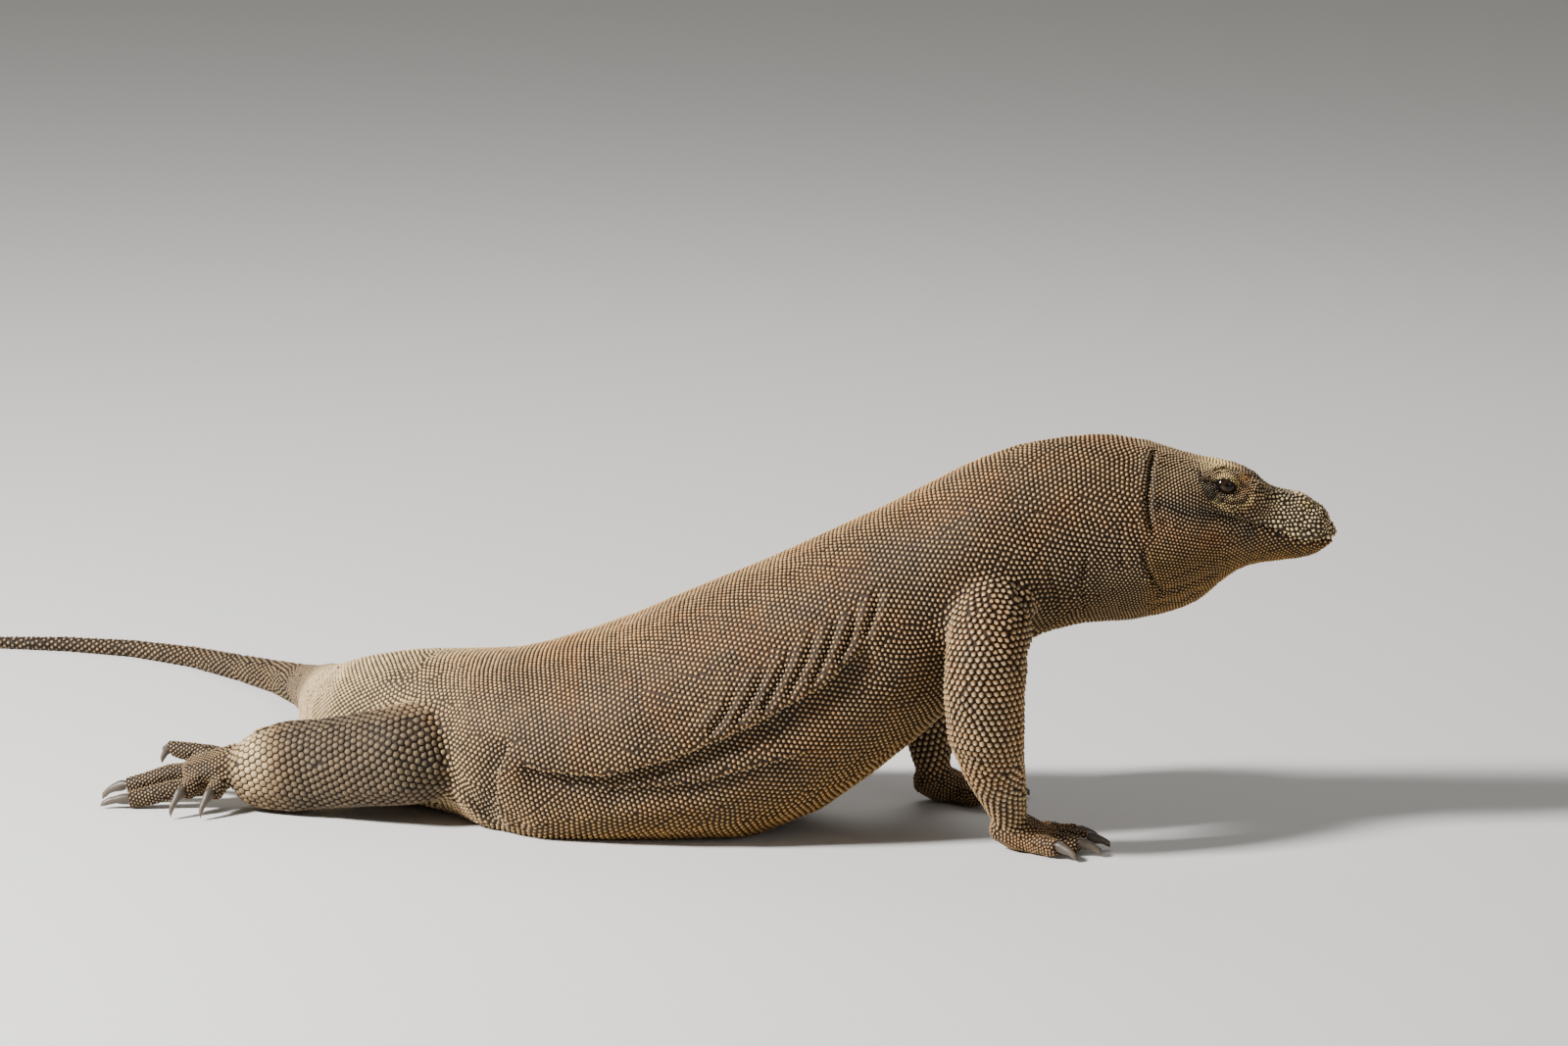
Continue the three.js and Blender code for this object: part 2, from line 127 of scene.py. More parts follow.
class KomodoSizes(bpy.types.PropertyGroup):
    """Sizes of the hide and the distance between its scales on each part"""

    voxel: length_prop("Hide grain", 2.7, "Edge length of the mesh that the hide is modelled on")
    coat: length_prop("Coat depth", 1.9, "How far the skin lies inside the solids, filled by the scales")
    foot_coat: length_prop("Foot coat depth", 0.7, "How far the skin of the feet lies inside the solids")
    rest: length_prop("Rest height", 3.0, "Height of the skin over the floor, where it lies on its scales")
    flank: length_prop("Flank scales", 6.4, "Spacing on the trunk")
    neck: length_prop("Neck scales", 6.4, "Spacing on the neck")
    crown: length_prop("Head scales", 4.6, "Spacing on the top of the head")
    throat: length_prop("Throat scales", 4.2, "Spacing on the throat")
    eyelid: length_prop("Eyelid scales", 3.0, "Spacing round the eyes")
    muzzle: length_prop("Muzzle scales", 5.3, "Spacing on the muzzle")
    lip: length_prop("Lip scales", 6.6, "Spacing of the large scales over the mouth")
    tail: length_prop("Tail scales", 6.4, "Spacing on the tail")
    fore: length_prop("Foreleg scales", 8.0, "Spacing of the large scales on the forelegs")
    hind: length_prop("Hind leg scales", 9.2, "Spacing of the large scales on the hind legs")
    toe: length_prop("Foot scales", 4.3, "Spacing on the feet")
    belly: length_prop("Belly scales", 8.0, "Spacing under the trunk")


class KomodoColours(bpy.types.PropertyGroup):
    """Colours of the hide, horn and eyes"""

    # near black: partly the skin's own colour, partly painted shade between the scales
    seam: colour_prop("Seam", "#150d07", "Skin in the gaps between the scales")
    tan: colour_prop("Tan", "#957147", "Scales of the back and flank")
    # the pale tops of the scales: partly wear, partly painted highlight
    worn: colour_prop("Worn", "#f4dfb4", "Worn tops of the scales")
    # also painted light on the top of the head
    pale: colour_prop("Dust", "#cbb48a", "Dusty scales of the rump, heels and muzzle")
    warm: colour_prop("Warm", "#825a18", "Orange-brown scales of the throat and low flank")
    # its share also holds painted shade: in the folds and creases, on the neck and chest, under the temple
    # and round the eyes
    dark: colour_prop("Dark", "#40372a", "Grey-brown scales of the neck, temple and tail")
    rust: colour_prop("Rust", "#a86a2c", "Orange scales before the eyes and on the jaw")
    ochre: colour_prop("Ochre", "#efcd80", "Yellow scales of the eyelids and the rim of the nostril")
    horn: colour_prop("Horn", "#655a49", "Claws")
    iris: colour_prop("Iris", "#1d120b", "Ring round the pupil")


# ---- small helpers


def deselect():
    for other in list(bpy.context.selected_objects):
        other.select_set(False)


def select_only(*objects):
    """Selects just these objects, and makes the first one active."""
    deselect()
    for one in objects:
        one.select_set(True)
    bpy.context.view_layer.objects.active = objects[0]


@contextlib.contextmanager
def edit_mode(piece):
    """Edit mode on this piece alone, while the block runs."""
    select_only(piece)
    bpy.ops.object.mode_set(mode="EDIT")
    yield
    bpy.ops.object.mode_set(mode="OBJECT")


def finish_mesh(mesh, material):
    """Smooth shading, and this material alone."""
    mesh.polygons.foreach_set("use_smooth", np.ones(len(mesh.polygons), bool))
    mesh.materials.clear()
    mesh.materials.append(material)


def link(name, mesh):
    piece = bpy.data.objects.new(name, mesh)
    bpy.context.scene.collection.objects.link(piece)
    return piece


def apply_modifier(piece, kind, **settings):
    """Adds a modifier with these settings and applies it."""
    select_only(piece)
    modifier = piece.modifiers.new(kind.title(), kind)
    for key, value in settings.items():
        setattr(modifier, key, value)
    bpy.ops.object.modifier_apply(modifier=modifier.name)


def read(items, key, width=1, kind=np.float64):
    """One property of all the items of a mesh, as an array."""
    values = np.empty(len(items) * width, kind)
    items.foreach_get(key, values)
    return values.reshape(-1, width) if width > 1 else values


def faces_of(mesh):
    """The vertex of each face corner, and each face's first corner."""
    corners = read(mesh.loops, "vertex_index", 1, np.int32)
    return corners, read(mesh.polygons, "loop_start", 1, np.int32)


def lengths(vectors):
    return np.linalg.norm(vectors, axis=1)


def unit(vectors):
    return vectors / np.maximum(np.linalg.norm(vectors, axis=1, keepdims=True), 1e-12)


def ease(values, start, end):
    """0 before start, 1 past end and a smooth rise between; start may be the larger."""
    share = np.clip((values - start) / (end - start), 0, 1)
    return share * share * (3 - 2 * share)


def hill(values, width):
    """1 at zero and falling away to both sides over about the width."""
    return np.exp(-((values / width) ** 2))


def runs_of(line):
    """How far along a line of points each of them lies."""
    return np.concatenate([[0], np.cumsum(lengths(np.diff(line, axis=0)))])


def on_chain(points, line):
    """Each point's run along a line of points, the line's direction there and the offset from it."""
    best = np.full(len(points), 1e9)
    run = np.zeros(len(points))
    ways = np.zeros_like(points)
    offsets = np.zeros_like(points)
    spans = lengths(np.diff(line, axis=0))
    for begin, end, span, start in zip(line[:-1], line[1:], spans, runs_of(line)):
        way = (end - begin) / span
        offset = points - begin
        step = np.clip(offset @ way, 0, span)
        rest = offset - step[:, None] * way
        distance = lengths(rest)
        nearer = distance < best
        best[nearer] = distance[nearer]
        run[nearer] = start + step[nearer]
        ways[nearer] = way
        offsets[nearer] = rest[nearer]
    return run, ways, offsets


def length_of(line):
    return lengths(np.diff(line, axis=0)).sum()


def across_line(points, line):
    """For 2-D points: distance to a line, signed to its right-hand side, and the share along it."""
    run, ways, offsets = on_chain(points, line)
    distance = lengths(offsets)
    cross = ways[:, 1] * offsets[:, 0] - ways[:, 0] * offsets[:, 1]
    return np.where(cross >= 0, distance, -distance), run / length_of(line)


def head_flat(points):
    """Points of the head as (forward, height), seen from 12 degrees above the side each lies on."""
    x, y, z = points.T
    height = z * math.cos(VIEW_TILT) - np.abs(y - HEAD_MIDDLE_Y) * math.sin(VIEW_TILT)
    return np.column_stack([x, height])


def eye_place(node):
    """The middle of an eye, and 1 for the left one or -1 for the right one."""
    centre = middle_of(node)
    return centre, math.copysign(1, centre[1] - HEAD_MIDDLE_Y)


# ---- the hide as arrays


class Hide:
    """A mesh as arrays: points, normals and each point's neighbours."""

    def __init__(self, mesh):
        self.mesh = mesh
        self.points = read(mesh.vertices, "co", 3)
        edges = read(mesh.edges, "vertices", 2, np.int32)
        ends = edges.T.ravel()
        others = edges[:, ::-1].T.ravel()
        order = np.argsort(ends, kind="stable")
        self.others = others[order]
        self.counts = np.bincount(ends, minlength=len(self.points))
        self.starts = np.concatenate([[0], np.cumsum(self.counts)[:-1]])
        self.hollow = np.zeros(len(self.points))  # how far the folds press each point in
        self.settle()

    def settle(self):
        """Writes the points to the mesh and reads its normals again."""
        self.mesh.vertices.foreach_set("co", self.points.ravel())
        self.mesh.update()
        self.normals = read(self.mesh.vertex_normals, "vector", 3)

    def around(self, values):
        """The mean over each point's neighbours."""
        sums = np.add.reduceat(values[self.others], self.starts, axis=0)
        counts = self.counts if values.ndim == 1 else self.counts[:, None]
        return sums / counts

    def spread(self, values, rounds, share=0.7):
        """Values blurred over the surface."""
        for _ in range(rounds):
            values = values + share * (self.around(values) - values)
        return values

    def push(self, distance):
        """Moves every point along its normal."""
        self.points += self.normals * distance[:, None]

    def facing(self, way):
        """Points as (forward, height), seen from 12 degrees above one side; the left one is mirrored."""
        x, y, z = self.points.T
        if way > 0:
            middles = sorted(tuple(middle_of(name)[:2]) for name in TRUNK)
            y = 2 * np.interp(x, *zip(*middles)) - y
        height = z * math.cos(VIEW_TILT) + (y - HEAD_MIDDLE_Y) * math.sin(VIEW_TILT)
        return np.column_stack([x, height])


def flesh_copy():
    """The flesh and eye solids as one merged mesh, with each face's node in the attribute part."""
    copies = []
    for number, name in enumerate(PART_NAMES):
        mesh = frame["nodes"][name].data.copy()
        mesh.materials.clear()
        part = mesh.attributes.new("part", "INT", "FACE")
        part.data.foreach_set("value", np.full(len(mesh.polygons), number, np.int32))
        copies.append(link("part_" + name, mesh))
    select_only(*copies)
    bpy.ops.object.join()
    body = bpy.context.view_layer.objects.active
    with edit_mode(body):
        bpy.ops.mesh.select_all(action="SELECT")
        bpy.ops.mesh.remove_doubles(threshold=0.01 * MM)
    return body


def keep_outer_shell(body):
    """Deletes whatever isn't linked to the highest point of the mesh."""
    heights = read(body.data.vertices, "co", 3)[:, 2]
    with edit_mode(body):
        bpy.ops.mesh.select_mode(type="VERT")
        bpy.ops.mesh.select_all(action="DESELECT")
    body.data.vertices[int(heights.argmax())].select = True
    with edit_mode(body):
        bpy.ops.mesh.select_linked()
        bpy.ops.mesh.select_all(action="INVERT")
        bpy.ops.mesh.delete(type="VERT")


def nearest_parts(tree, parts, points):
    """Each point's CAD node number, its nearest place on the solids and that face's normal."""
    numbers = np.empty(len(points), np.int32)
    places = np.empty((len(points), 3))
    normals = np.empty((len(points), 3))
    nearest = tree.find_nearest
    for i, point in enumerate(points.tolist()):
        place, normal, face, _ = nearest(point)
        numbers[i] = parts[face]
        places[i] = place
        normals[i] = normal
    return numbers, places, normals


def subdivide_where(body, mask):
    """Cuts every face whose corners are all in the mask into four."""
    mesh = body.data
    with edit_mode(body):
        bpy.ops.mesh.select_mode(type="FACE")
        bpy.ops.mesh.select_all(action="DESELECT")
    corners, starts = faces_of(mesh)
    mesh.polygons.foreach_set("select", np.logical_and.reduceat(mask[corners], starts))
    with edit_mode(body):
        bpy.ops.mesh.subdivide(number_cuts=1)


# ---- modelling the hide


def named(*prefixes):
    """For each place in PART_NAMES, whether the name starts with one of the prefixes."""
    return np.array([name.startswith(prefixes) for name in PART_NAMES])


SMOOTHING = 80  # rounds that take the facets away
ROUNDING = {"foot": 0.03, "leg": 0.3, "head": 0.1, "lower_jaw": 0.12, "eye": 0.05, "tail": 0.5}
MOST_LIFT = 6 * MM  # how far a point is laid out to the solids again, at most


def smooth_hide(hide, parts):
    """Rounds the facets away, most on the trunk and least on the toes."""
    strength = roundness(hide, parts) * 0.9
    for _ in range(SMOOTHING):
        hide.points += strength[:, None] * (hide.around(hide.points) - hide.points)
    hide.settle()


def roundness(hide, parts):
    """How soft the form is at each vertex, from 0 on a toe to 1 on the trunk."""
    share = np.full(len(PART_NAMES), 1.0)
    for prefix, value in ROUNDING.items():
        share[named(prefix)] = value
    return hide.spread(share[parts], rounds=12)


def fit_inside(hide, places, normals, depth, soft):
    """Lays the hide this deep inside the solids again, and leaves its fillets."""
    outside = np.einsum("ij,ij->i", hide.points - places, normals)
    lift = hide.spread(np.clip(-depth - outside, -depth, MOST_LIFT), rounds=5)
    wide = hide.spread(lift, rounds=50)
    hide.push(soft * wide + (1 - soft) * lift)
    hide.settle()


# Creases and overhangs are drawn on the flank as lines of (forward, height) in millimetres.
CREASES = [
    # line, depth, width, and how far its two lips rise
    ([(606, 458), (597, 450), (592, 430), (589, 404), (589, 380), (597, 350)], 7.0, 4.0, 2.0),
    ([(583, 349), (587, 320), (599, 300), (614, 279)], 4.0, 3.4, 1.4),
    ([(560, 372), (556, 345), (562, 312)], 1.6, 3.5, 0.8),
    ([(519, 341), (512, 298), (517, 259)], 3.0, 4.0, 1.5),
    ([(433, 302), (445, 275), (458, 249)], 5.0, 4.0, 2.0),
    ([(470, 330), (478, 300), (484, 262)], 1.8, 4.0, 1.0),
    ([(597, 288), (637, 299), (678, 315)], 1.3, 2.6, 0.7),
    ([(589, 275), (629, 281), (662, 296)], 1.3, 2.6, 0.7),
    ([(604, 303), (640, 316), (676, 331)], 0.9, 2.4, 0.5),
]
LONG_FOLD = [(-150, 90), (-110, 80), (-41, 76), (40, 97), (132, 137), (215, 184), (268, 236)]
OVERHANGS = [
    # line with the overhanging side on its left, lip, depth of the hollow under it, width, reach
    (LONG_FOLD, 5.5, 8.5, 2.0, 30),
    ([(-60, 58), (60, 68), (112, 81), (210, 108)], 2.6, 4.6, 2.6, 20),
    ([(-148, 118), (-166, 76), (-168, 36), (-160, 6)], 6.0, 9.0, 4.0, 22),
    ([(-168, 8), (-196, 30), (-236, 74)], 2.5, 4.0, 3.0, 14),
]
WRINKLES = 7  # on the flank over the long fold
FIRST_WRINKLE = 78  # its foot's place forward
WRINKLE_GAP = 30
WRINKLE = (5.2, 5.6, 2.2)  # their depth, width and lip
LEFT_SHARE = 0.8  # the folds of the left flank are shallower, since it is stretched
UNDER_EYE = [(650, 440), (652, 424), (659, 409), (670, 398), (686, 390.5), (703, 393.5), (710, 404)]
HEAD_CREASES = [
    (UNDER_EYE, 3.2, 1.7, 1.5),
    ([(663, 427), (671, 431), (683, 432.5), (699, 427)], 3.2, 1.7, 1.4),
    ([(704, 424), (722, 418), (744, 408)], 1.2, 2.4, 0.3),
    ([(648, 425), (655, 404), (668, 389), (688, 380)], 0.8, 2.0, 0.5),
    ([(612, 362), (640, 352), (672, 351)], 1.0, 2.4, 0.5),
]
SNOUT_SWELLS = [
    # direction that the skin faces there, how far it swells, middle and radii
    ((0.8, 0, 0.6), 5.0, (795, 378), (17, 16)),
    ((0.4, 0, 0.9), 3.6, (774, 400), (24, 16)),
]
HEAD_OVERHANGS = [
    ([(602, 400), (638, 391), (680, 386), (706, 373)], 1.6, 2.2, 5.0, 15),
]


def press(hide, line, way, profile, fade_in=0.18, fade_out=0.18):
    """Pushes the hide near a line on one flank by a profile of the distance across it."""
    flat = hide.facing(way)
    line = np.array(line) * MM
    low = line.min(0) - 0.07
    high = line.max(0) + 0.07
    near = ((flat > low) & (flat < high)).all(1) & (hide.normals[:, 1] * way > -0.15)
    across, share = across_line(flat[near], line)
    ends = ease(share, 0, fade_in) * ease(share, 1, 1 - fade_out)
    height = np.zeros(len(flat))
    height[near] = profile(across) * ends
    hide.hollow += np.clip(-height, 0, None)
    hide.push(height)


def crease(hide, line, depth, width, lip, way, **fades):
    """A narrow groove with a soft lip on both sides."""

    def profile(across):
        beside = np.abs(across) - 1.8 * width * MM
        return lip * MM * hill(beside, 1.2 * width * MM) - depth * MM * hill(across, width * MM)

    press(hide, line, way, profile, **fades)


def overhang(hide, line, lip, depth, width, reach, way):
    """A roll of skin that ends at the line and leaves a hollow under it."""

    def profile(across):
        roll = lip * MM * hill(np.minimum(across, 0), reach * MM)
        hollow = -depth * MM * hill(np.maximum(across - width * MM, 0), reach * MM)
        drop = ease(across, -0.5 * width * MM, width * MM)
        return roll + drop * (hollow - roll)

    length = length_of(line)
    press(hide, line, way, profile, fade_in=30 / length, fade_out=40 / length)


def wrinkle_lines():
    """Slanting wrinkles that run up and forward from the long fold, steeper towards the shoulder."""
    fold = np.array(LONG_FOLD)
    for number in range(WRINKLES):
        forward = FIRST_WRINKLE + WRINKLE_GAP * number
        foot = np.array([forward, np.interp(forward, fold[:, 0], fold[:, 1]) + 8])
        slant = math.radians(58 + 2.5 * number)
        way = np.array([math.cos(slant), math.sin(slant)])
        bow = np.array([way[1], -way[0]]) * 4
        reach = 62 + 34 * math.sin(math.pi * (number + 0.5) / WRINKLES)
        yield [foot, foot + 0.5 * reach * way + bow, foot + reach * way]


def press_lines(hide, way, overhangs, creases, share=1.0):
    """Presses overhangs and creases into one side, at a share of their height."""
    for line, lip, depth, width, reach in overhangs:
        overhang(hide, line, share * lip, share * depth, width, reach, way)
    for line, depth, width, lip in creases:
        crease(hide, line, share * depth, width, share * lip, way)


def model_folds(hide):
    """Presses the folds and wrinkles into both flanks."""
    for way, share in ((-1, 1.0), (1, LEFT_SHARE)):
        press_lines(hide, way, OVERHANGS, CREASES, share)
        depth, width, lip = WRINKLE
        for line in wrinkle_lines():
            crease(hide, line, depth * share, width, lip * share, way, fade_in=0.08, fade_out=0.5)
        hide.settle()


def model_face(hide):
    """A blunt snout, creases round the eyes, the ridge of the brow and the nostrils."""
    flat = head_flat(hide.points)
    swell = np.zeros(len(flat))
    for way, most, centre, radii in SNOUT_SWELLS:
        ahead = ease(hide.normals @ np.array(way), -0.1, 0.5)
        swell += most * MM * ahead * patch(flat, centre, radii)
    hide.push(swell)
    hide.settle()
    for way in (-1, 1):
        press_lines(hide, way, HEAD_OVERHANGS, HEAD_CREASES)
        side = hide.normals[:, 1] * way > 0
        offset = np.hypot(*((hide.facing(way) - NOSTRIL) / NOSTRIL_HALF).T)
        pit = NOSTRIL_RIM * hill(offset - 1.6, 0.35) - NOSTRIL_DEPTH * ease(offset, 1.25, 0.5)
        hide.push(pit * side * (offset < 3))
        hide.settle()


JAW_STATIONS = 24  # places along the jaw where its top edge is taken


def mouth_height(forward):
    """Height of the mouth line at each place along the head, from the top edge of the jaw."""
    jaw = read(frame["nodes"]["lower_jaw"].data.vertices, "co", 3)
    stations = np.linspace(jaw[:, 0].min() + 4 * MM, jaw[:, 0].max() - 4 * MM, JAW_STATIONS)
    tops = [jaw[np.abs(jaw[:, 0] - x) < 8 * MM][:, 2].max() for x in stations]
    return np.interp(forward, stations, tops)


MOUTH_CORNER = 0.674  # the mouth line ends here, below the back of the eye
MOUTH_SHAPES = (
    # height, middle over the mouth line and width of the groove, the upper lip and the lower lip
    (-3.2, 0, 1.6),
    (1.3, 6, 4),
    (0.9, -6, 4),
)
NOSTRIL = np.array([781, 382]) * MM
NOSTRIL_HALF = np.array([4.2, 2.8]) * MM
NOSTRIL_DEPTH = 3.4 * MM
NOSTRIL_RIM = 0.8 * MM


def model_mouth(hide):
    """Presses the mouth line in and swells the lips over and under it."""
    x, _, z = hide.points.T
    over = z - mouth_height(x)
    front = ease(x, MOUTH_CORNER - 0.012, MOUTH_CORNER + 0.006)
    head = front * (np.abs(over) < 0.03)
    height = sum(most * MM * hill(over - up * MM, width * MM) for most, up, width in MOUTH_SHAPES)
    tip = ease(x, x.max(), x.max() - 16 * MM)
    hide.push(head * (0.3 + 0.7 * tip) * height)
    hide.settle()


LID_REACH = 18 * MM
LID_HALF = Vector((12.2, 8.4)) * MM  # half length and half height of the opening
LID_TILT = math.radians(-17)  # the opening dips to the front
LID_THICKNESS = 1.3 * MM
SOCKET_DEPTH = 2.5 * MM  # how far the skin behind the opening lies under the eyeball's surface


def lid_opening(ahead, high):
    """How far out of the lids' opening a place beside the eye is: 1 on its edge."""
    along = ahead * math.cos(LID_TILT) + high * math.sin(LID_TILT)
    up = high * math.cos(LID_TILT) - ahead * math.sin(LID_TILT)
    return np.hypot(along / LID_HALF.x, up / LID_HALF.y)


def model_lids(hide):
    """Lays an upper and a lower lid on each eyeball, with a rim round the opening."""
    for name in EYES:
        centre, way = eye_place(name)
        offset = hide.points - centre
        distance = lengths(offset)
        near = (distance < 1.9 * LID_REACH) & (offset[:, 1] * way > -0.3 * EYE_RADIUS)
        rays = unit(offset[near])
        ahead, _, high = (rays * EYE_RADIUS).T
        opening = np.where(rays[:, 1] * way > 0, lid_opening(ahead, high), 3)
        lid = EYE_RADIUS + LID_THICKNESS + LID_THICKNESS * hill(opening - 1.2, 0.14)
        inner = EYE_RADIUS - SOCKET_DEPTH
        held = distance[near]
        share = ease(held, LID_REACH, EYE_RADIUS + 2.0 * MM)
        radius = np.where(opening < 1, inner, held + share * (lid - held))
        hide.points[near] = centre + rays * radius[:, None]
    hide.settle()


# ---- fields over the hide

SPINE = ("tail_tip", "tail_middle", "tail_base", "hips", "belly", "chest", "neck", "head")
REGIONS = {
    "crown": ("head", "lower_jaw", "eye"),
    "neck": ("neck",),
    "tail": ("tail",),
    "fore": ("leg_fore",),
    "hind": ("leg_hind",),
    "toe": ("foot",),
}


TIP = 6 * MM  # depth of the end that far_end takes the middle of


def far_end(node, near):
    """The middle of the node's few vertices that are farthest from a place."""
    points = read(frame["nodes"][node].data.vertices, "co", 3)
    distance = lengths(points - np.array(near))
    return points[distance > distance.max() - TIP].mean(0)


def chains():
    """Centre lines as points: the spine from tail to snout, then each leg from the body to its toes."""
    spine = [middle_of(name) for name in SPINE]
    lines = {"spine": [far_end("tail_tip", spine[1]), *spine, far_end("head", spine[-2])]}
    for leg in LEGS:
        names = (f"leg_{leg}_upper", f"leg_{leg}_lower", f"foot_{leg}")
        joints = [middle_of(name) for name in names]
        lines[leg] = [*joints, far_end(names[2], joints[1])]
    return {name: np.array(points) for name, points in lines.items()}


def chain_of(parts):
    """The centre line that each node number belongs to."""
    names = list(chains())
    owner = np.zeros(len(PART_NAMES), int)
    for number, name in enumerate(PART_NAMES):
        for place, leg in enumerate(names[1:], start=1):
            if leg in name:
                owner[number] = place
    return owner[parts]


def lie_of_scales(hide, parts):
    """The direction in which the scales point at each vertex: to the tail tip, and down the legs."""
    owner = chain_of(parts)
    lie = np.zeros_like(hide.points)
    for place, (name, line) in enumerate(chains().items()):
        here = owner == place
        _, ways, _ = on_chain(hide.points[here], line)
        lie[here] = -ways if name == "spine" else ways
    lie = hide.spread(lie, rounds=40)
    lie -= np.einsum("ij,ij->i", lie, hide.normals)[:, None] * hide.normals
    return unit(lie)


def eye_openings(points):
    """How far out of the nearer eye's lid opening each point is."""
    openings = np.full(len(points), 99.0)
    for name in EYES:
        centre, way = eye_place(name)
        offset = points - centre
        here = (offset[:, 1] * way > -EYE_RADIUS) & (lengths(offset) < 60 * MM)
        openings[here] = lid_opening(offset[here, 0], offset[here, 2])
    return openings


def pitch_of_scales(hide, parts, sizes):
    """The distance between scales at each vertex."""
    pitch = np.full(len(PART_NAMES), sizes.flank)
    for key, prefixes in REGIONS.items():
        pitch[named(*prefixes)] = getattr(sizes, key)
    field = hide.spread(pitch[parts], rounds=50)
    x = hide.points[:, 0]
    down = -hide.normals[:, 2]
    trunk = named("chest", "belly", "hips")[parts]
    field += ease(down, 0.45, 0.8) * trunk * (sizes.belly - field)
    field += ease(down, -0.1, 0.5) * ease(x, 0.48, 0.56) * (sizes.throat - field)
    over = hide.points[:, 2] - mouth_height(x)
    muzzle = ease(x, 0.70, 0.74) * ease(over, -12 * MM, -2 * MM)
    random = np.random.default_rng(SEED)
    rough = hide.spread(random.standard_normal(len(x)), rounds=16)
    rough = np.clip(rough / rough.std(), -1.5, 1.5)
    field += muzzle * (sizes.muzzle * (1 + 0.2 * rough) - field)
    field += muzzle * hill(over - 5.5 * MM, 4 * MM) * (sizes.lip - field)
    field += ease(eye_openings(hide.points), 3.6, 2.0) * (sizes.eyelid - field)
    return field


# ---- laying the scales

SHAPES = {
    # node prefixes: height as a share of the pitch, how far the point leans back as a share of
    # the radius, how pale its top is from wear and painted highlight, how much of its room the scale
    # fills and how wide its top is
    ("chest", "belly", "hips"): (0.42, 0.35, 0.7, 0.82, 0.64),
    ("head", "lower_jaw", "eye"): (0.42, 0.05, 0.6, 0.82, 0.68),
    ("neck",): (0.42, 0.3, 0.7, 0.82, 0.64),
    ("tail",): (0.34, 0.45, 0.35, 0.90, 0.70),
    ("leg_fore",): (0.40, 0.75, 0.8, 0.92, 0.74),
    ("leg_hind",): (0.26, 0.65, 0.12, 0.96, 0.80),
    ("foot",): (0.36, 0.4, 0.4, 0.90, 0.72),
}
HEXAGON = [(math.cos(math.radians(60 * k)), math.sin(math.radians(60 * k))) for k in range(6)]
CROWDED = 0.62  # a place this near to a laid scale, in pitches, isn't tried
TOUCHING = 0.80  # and one this near after it has settled isn't taken
PUSHING = 1.3  # laid scales within this many pitches push a new one away
CELL = 1.35  # edge of the search grid's cells, in the largest pitch


def rank_along(points, owner):
    """How far back each point lies: from the snout to the tail tip, and on down each leg."""
    lines = chains()
    spine_length = length_of(lines["spine"])
    rank = np.zeros(len(points))
    for place, (name, line) in enumerate(lines.items()):
        here = owner == place
        run, _, _ = on_chain(points[here], line)
        if name == "spine":
            rank[here] = spine_length - run
        else:
            root, _, _ = on_chain(line[:1], lines["spine"])
            rank[here] = spine_length - root[0] + run
    return rank


def lay_roots(tree, pitch, lie, normals, rank, first):
    """Places for scales, a pitch apart in hexagons. Each new one settles between those laid before it.

    The fields are lists with a value for each face. Returns the places and the face under each.
    """
    cell = CELL * max(pitch)
    grid = {}
    roots = []
    faces = []
    queue = []
    nearest = tree.find_nearest
    steps = [(a, b, c) for a in (-1, 0, 1) for b in (-1, 0, 1) for c in (-1, 0, 1)]

    def cell_of(x, y, z):
        return int(x // cell), int(y // cell), int(z // cell)

    def add(place, face):
        grid.setdefault(cell_of(*place), []).append(place)
        heapq.heappush(queue, (rank[face], len(roots)))
        roots.append(place)
        faces.append(face)

    def neighbours(x, y, z):
        i, j, k = cell_of(x, y, z)
        return [place for a, b, c in steps for place in grid.get((i + a, j + b, k + c), ())]

    def too_near(x, y, z, others, distance):
        limit = distance**2
        return any((x - a) ** 2 + (y - b) ** 2 + (z - c) ** 2 < limit for a, b, c in others)

    place, _, face, _ = nearest(first)
    add(tuple(place), face)
    while queue:
        _, number = heapq.heappop(queue)
        face = faces[number]
        gap = pitch[face]
        tx, ty, tz = lie[face]
        nx, ny, nz = normals[face]
        side = ny * tz - nz * ty, nz * tx - nx * tz, nx * ty - ny * tx
        axes = list(zip(roots[number], side, lie[face]))
        for across, along in HEXAGON:
            x, y, z = [p + gap * (across * b + along * t) for p, b, t in axes]
            others = neighbours(x, y, z)
            if too_near(x, y, z, others, CROWDED * gap):
                continue
            for _ in range(2):
                place, _, face, _ = nearest((x, y, z))
                x, y, z = place
                want = pitch[face]
                mx = my = mz = 0.0
                for a, b, c in others:
                    dx, dy, dz = x - a, y - b, z - c
                    distance = math.sqrt(dx * dx + dy * dy + dz * dz)
                    if 0 < distance < PUSHING * want:
                        share = 0.5 * (want - distance) / distance
                        mx += share * dx
                        my += share * dy
                        mz += share * dz
                x += mx
                y += my
                z += mz
            place, _, face, _ = nearest((x, y, z))
            if not too_near(*place, others, TOUCHING * pitch[face]):
                add(tuple(place), face)
    return np.array(roots), np.array(faces)


NEAR = 9  # neighbours that bound a scale's outline
FAR = 1.9  # those farther off than this many pitches don't count
CLOSE = 1.35  # those within this many turn the outline's corners between them
WIDEST = 0.74  # longest radius in pitches


